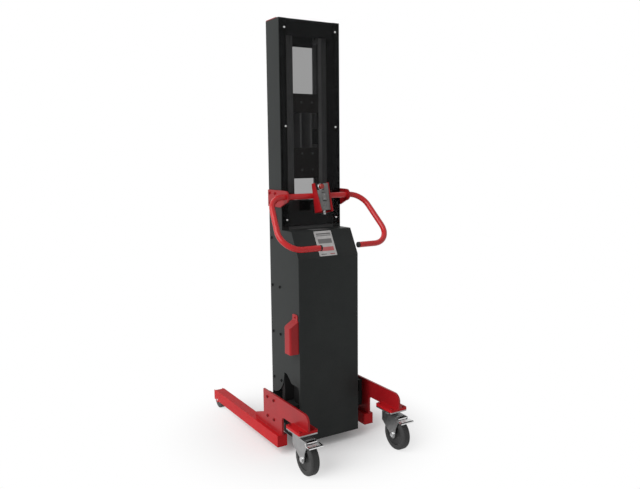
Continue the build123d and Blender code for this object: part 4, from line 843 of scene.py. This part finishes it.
# Gearmotor: cast box with bolts and a finned motor
gearmotor = {
    "boxHeight": 84.0, "boxEdge": 5.0, "motorRadius": 40.0, "motorBehind": 62.0, "motorSink": 1.0,
    "bell": 22.0, "bellRound": ((1.0, 5.0), (6.0, 0.5)),  # in from the motor's side, below its top
    "fins": 14, "fin": ((0.1, 1), (0.5, 1), (0.6, 0), (0.95, 0)),  # share of a step, 1 in the gap
    "finDepth": 2.5, "boltInset": 12.0,
    "bolt": ((0, -1.5), (5.5, -1.5), (5.5, -0.2), (5.0, 0), (3.0, 0, True), (2.8, -1.2, True), (0, -1.2)),
}
low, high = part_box("gearmotor")
boxTop = low.z + gearmotor["boxHeight"] * mm
bm = bmesh.new()
block(bm, low, (high.x, high.y, boxTop), edge=gearmotor["boxEdge"] * mm)
motorAt = Matrix.Translation(((low.x + high.x) / 2, mastRear - gearmotor["motorBehind"] * mm, boxTop))
length = (high.z - boxTop) / mm
radius, bell, sink = gearmotor["motorRadius"], gearmotor["bell"], gearmotor["motorSink"]
profile = [(0, -sink), (radius, -sink), (radius, bell)]
step = (length - 2 * bell) / gearmotor["fins"]
for i in range(gearmotor["fins"]):
    for share, drop in gearmotor["fin"]:
        profile.append((radius - drop * gearmotor["finDepth"], bell + (i + share) * step))
profile.append((radius, length - bell))
profile += [(radius - inward, length - below) for inward, below in gearmotor["bellRound"]]
lathe(bm, inMetres(profile + [(0, length)]), motorAt, steps=48)
inset = gearmotor["boltInset"] * mm
for x in (low.x + inset, high.x - inset):
    for z in (low.z + inset, boxTop - inset):
        lathe(bm, inMetres(gearmotor["bolt"]), aim((x, high.y, z), (0, 1, 0)))
settle(bm, "gearmotor_shown", "motorPaint", "chassis", replaces=["gearmotor"])

# Batteries with lids and terminals
battery = {"lid": 14.0, "seam": 1.2, "edge": 3.0, "neckInset": 1.5, "neckSink": 1.0, "neckRise": 2.0,
           "terminal": 6.0, "terminalHeight": 9.0, "terminalInset": 22.0, "terminalRound": 1.0}
neckInset, neckSink, neckRise = (battery[key] * mm for key in ("neckInset", "neckSink", "neckRise"))
post, postTop, postRound = battery["terminal"], battery["terminalHeight"], battery["terminalRound"]
profile = [(0, -postRound), (post, -postRound), (post, postTop - postRound), (post - postRound, postTop),
           (0, postTop)]
cases, terminals = bmesh.new(), bmesh.new()
for low, high in solidsOf("batteries"):
    lidTop = high.z - postTop * mm
    seam = lidTop - battery["lid"] * mm
    edge, inset = battery["edge"] * mm, battery["terminalInset"] * mm
    block(cases, low, (high.x, high.y, seam), edge=edge)
    block(cases, (low.x, low.y, seam + battery["seam"] * mm), (high.x, high.y, lidTop), edge=edge)
    block(cases, (low.x + neckInset, low.y + neckInset, seam - neckSink),
          (high.x - neckInset, high.y - neckInset, seam + neckRise))
    for y in (low.y + inset, high.y - inset):
        lathe(terminals, inMetres(profile), Matrix.Translation(((low.x + high.x) / 2, y, lidTop)))
settle(cases, "batteries_shown", "batteryCase", "chassis", replaces=["batteries"])
settle(terminals, "battery_terminals", "brightSteel", "chassis")

# Charging socket with its pins
socket = {"mouth": 10.0, "mouthRound": 0.6, "depth": 6.3, "rimRound": 1.0, "pins": 3, "pinRadius": 1.6,
          "pinCircle": 5.2, "pinSink": 1.0, "pinGap": 0.8, "pinRound": (0.5, 0.6)}
low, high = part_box("charging_socket")
radius, length = (high.z - low.z) / 2 / mm, (high.x - low.x) / mm
place = aim((high.x, (low.y + high.y) / 2, (low.z + high.z) / 2), -acrossAxis)
mouth, mouthRound, rimRound = socket["mouth"], socket["mouthRound"], socket["rimRound"]
floorAt = length - socket["depth"]
profile = [(0, 0), (radius, 0), (radius, length - rimRound), (radius - rimRound, length),
           (mouth + mouthRound, length), (mouth, length - mouthRound), (mouth, floorAt), (0, floorAt)]
turnPiece("charging_socket_shown", "blackPlastic", "chassis", profile, place, replaces=["charging_socket"])
pin, pinFoot, pinTop = socket["pinRadius"], floorAt - socket["pinSink"], length - socket["pinGap"]
roundIn, roundDown = socket["pinRound"]
profile = [(0, pinFoot), (pin, pinFoot), (pin, pinTop - roundDown), (pin - roundIn, pinTop), (0, pinTop)]
bm = bmesh.new()
for i in range(socket["pins"]):
    turn = math.tau * i / socket["pins"]
    spot = Vector((math.cos(turn), math.sin(turn), 0)) * socket["pinCircle"] * mm
    lathe(bm, inMetres(profile), place @ Matrix.Translation(spot), steps=16)
settle(bm, "charging_pins", "brightSteel", "chassis")
print("drive and power done")

# Folded end of the cabinet's plate on the flat top, darker than the plate as painted shade
flap = {"reach": 40.0, "thick": 0.5, "sink": 0.1, "inset": 2.0, "edge": 0.15}
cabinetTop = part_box("rear_cabinet")[1].z
foldY = slopeHigh.y + flap["inset"] * mm
bm = bmesh.new()
block(bm, (slopeLow.x, foldY, cabinetTop - flap["sink"] * mm),
      (slopeHigh.x, foldY + flap["reach"] * mm, cabinetTop + flap["thick"] * mm), edge=flap["edge"] * mm)
settle(bm, "label_flap", "flapSheet", "chassis")

# Screw on the hood's tab
tabScrew = {
    "radius": 5.2, "height": 2.4, "sink": 0.5, "wall": 3.0, "below": 11.0,
    "shape": ((1.0, 0.5), (0.8, 1.0), (0.55, 1.0), (0.5, 1.0, True), (0.46, 0.3, True), (0, 0.3)),  # shares
}
low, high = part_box("socket_hood")
spot = (high.x - tabScrew["wall"] * mm, (low.y + high.y) / 2, high.z - tabScrew["below"] * mm)
radius, height, sink = tabScrew["radius"], tabScrew["height"], tabScrew["sink"]
profile = [(0, -sink), (radius, -sink)]
profile += [(radius * out, height * up, *hexagon) for out, up, *hexagon in tabScrew["shape"]]
turnPiece("hood_screw", "redCoat", "chassis", profile, aim(spot, -acrossAxis))

# Rubber trim on the side edges of the plate behind the lower mast
trim = {"depth": 18.0, "thick": 2.2, "inset": 0.2, "overlap": 0.5, "edge": 0.6}
low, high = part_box("mast_back_plate")
inset, thick = trim["inset"] * mm, trim["thick"] * mm
near, far = high.y - trim["overlap"] * mm, high.y + trim["depth"] * mm
bm = bmesh.new()
for left in (low.x + inset, high.x - inset - thick):
    block(bm, (left, near, low.z + inset), (left + thick, far, high.z - inset), edge=trim["edge"] * mm)
settle(bm, "plate_trim", "batteryCase", "chassis")

# Weld beads where plates, legs and arms meet: overlapping ripples along straight joints
weld = {"radius": 1.8, "pitch": 3.2, "ripple": ((0.12, 0.86), (0.5, 1.0), (0.88, 0.86)), "sides": 10,
        "smooth": 60, "startGap": 6.0, "legGap": 4.0, "flangeGap": 3.0, "armRise": 60.0}


def bead(bm, start, end):
    run = Vector(end) - Vector(start)
    count = max(2, round(run.length / (weld["pitch"] * mm)))
    profile = [(0, 0)]
    for i in range(count):
        for share, swell in weld["ripple"]:
            profile.append((weld["radius"] * mm * swell, (i + share) * run.length / count))
    lathe(bm, profile + [(0, run.length)], aim(start, run), weld["sides"])


startGap, legGap, flangeGap = (weld[key] * mm for key in ("startGap", "legGap", "flangeGap"))
red, black = bmesh.new(), bmesh.new()
legs = [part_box("left_leg"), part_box("right_leg")]
sides = zip(solidsOf("side_plates"), legs, solidsOf("caster_flanges"))
for (low, high), (legLow, legHigh), (_, flangeHigh) in sides:
    for x in (low.x, high.x):
        start = max(legLow.y, low.y) + startGap
        bead(red, (x, start, legHigh.z), (x, high.y - legGap, legHigh.z))
        bead(red, (x, low.y + startGap, flangeHigh.z), (x, flangeHigh.y - flangeGap, flangeHigh.z))
for low, high in solidsOf("chassis_arms"):
    innerSide = low.x if abs(low.x) < abs(high.x) else high.x
    rail = math.copysign(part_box("guide_rails")[1].x, innerSide)
    for z in (low.z, low.z + weld["armRise"] * mm):
        bead(black, (innerSide, high.y, z), (rail, high.y, z))
settle(red, "red_welds", "redCoat", "chassis", weld["smooth"])
settle(black, "black_welds", "blackCoat", "chassis", weld["smooth"])
print("small trim and welds done")

# Camera where the photo was taken from
camera = {"x": -1.35151, "behindMast": 2.28977, "z": 1.14267, "yaw": 31.25, "pitch": -7.48, "roll": -0.56,
          "focalPixels": 668.68, "imageWidth": 640, "sensor": 36.0}
yaw, pitch, roll = (math.radians(camera[key]) for key in ("yaw", "pitch", "roll"))
ahead = Vector((math.sin(yaw) * math.cos(pitch), math.cos(yaw) * math.cos(pitch), math.sin(pitch)))
level = Vector((math.cos(yaw), -math.sin(yaw), 0))
sideways = level * math.cos(roll) + level.cross(ahead) * math.sin(roll)
standing = (camera["x"], mastRear - camera["behindMast"], camera["z"])
lens = bpy.data.cameras.new("photoCamera")
lens.sensor_width = camera["sensor"]
lens.lens = camera["focalPixels"] * camera["sensor"] / camera["imageWidth"]
viewer = bpy.data.objects.new("photoCamera", lens)
viewer.matrix_world = placeWith(sideways, sideways.cross(ahead), -ahead, standing)
bpy.context.scene.collection.objects.link(viewer)
bpy.context.scene.camera = viewer


# Share of light that looks at the background: the eye, gloss and clear sheets
def seesBackground(sock):
    kinds = ("Is Camera Ray", "Is Glossy Ray", "Is Transmission Ray")
    eye, gloss, clear = (sock.node("LightPath", None, None, kind) for kind in kinds)
    return sock.node("Math", {"operation": "ADD", "use_clamp": True}, {0: eye + gloss, 1: clear})


# Pale floor that keeps a light shadow and fades to the white background
floor = {"size": 14.0, "sides": 96, "drop": 0.4, "dark": grey(0.90), "light": grey(0.915), "cloud": 3.0,
         "rough": 0.9, "specular": 0.1, "white": 0.10, "fadeStart": 0.12, "fadeEnd": 0.66}
bm = bmesh.new()
under = Matrix.Translation((0, 0, -floor["drop"] * mm))
bmesh.ops.create_circle(bm, cap_ends=True, segments=floor["sides"], radius=floor["size"], matrix=under)
floorMesh = bpy.data.meshes.new("floor")
bm.to_mesh(floorMesh)
bm.free()
floorPiece = bpy.data.objects.new("floor", floorMesh)
bpy.context.scene.collection.objects.link(floorPiece)
floorFixed = {"Roughness": floor["rough"], "Specular IOR Level": floor["specular"]}
floorLook, floorShader, floorCoords = startMaterial("floorLook", floorFixed)
floorCoords.noise(floor["cloud"], 4.0).tint(floor["dark"], floor["light"]).feed(floorShader, "Base Color")
distance = floorCoords.node("VectorMath", {"operation": "LENGTH"}, {0: floorCoords}, out=1)
spread = floor["white"] + distance.smooth(floor["fadeStart"], floor["fadeEnd"]) * (1 - floor["white"])
fade = spread * seesBackground(floorCoords)
white = floorCoords.node("Emission", None, {"Color": grey(1.0), "Strength": 1.0})
floorTree = floorLook.node_tree
lit = Sock(floorTree, floorShader.outputs[0])
blend = floorCoords.node("MixShader", None, {0: fade, 1: lit, 2: white})
blend.feed(floorTree.nodes["Material Output"], "Surface")
floorMesh.materials.append(floorLook)

# White surroundings for the eye and for gloss, plain light for the rest
studio = {"fill": 0.30, "keyStrength": 3.15, "keyFrom": (-0.80, -0.06, 0.60), "keyHeight": 3.0,
          "keyAngle": 60.0}
world = bpy.data.worlds.new("studio")
bpy.context.scene.world = world
world.use_nodes = True
skyNodes = world.node_tree.nodes
skyNodes["Background"].inputs["Color"].default_value = grey(1.0)
skyNodes["Background"].inputs["Strength"].default_value = studio["fill"]
plain = Sock(world.node_tree, skyNodes["Background"].outputs[0])
bright = plain.node("Background", None, {"Color": grey(1.0), "Strength": 1.0})
sky = plain.node("MixShader", None, {0: seesBackground(plain), 1: plain, 2: bright})
sky.feed(skyNodes["World Output"], "Surface")
keyLamp = bpy.data.lights.new("keyLamp", "SUN")
keyLamp.energy = studio["keyStrength"]
keyLamp.angle = math.radians(studio["keyAngle"])
key = bpy.data.objects.new("keyLamp", keyLamp)
key.matrix_world = aim((0, 0, studio["keyHeight"]), studio["keyFrom"])
bpy.context.scene.collection.objects.link(key)
bpy.context.scene.view_settings.view_transform = "Standard"
print("camera, floor and light done")
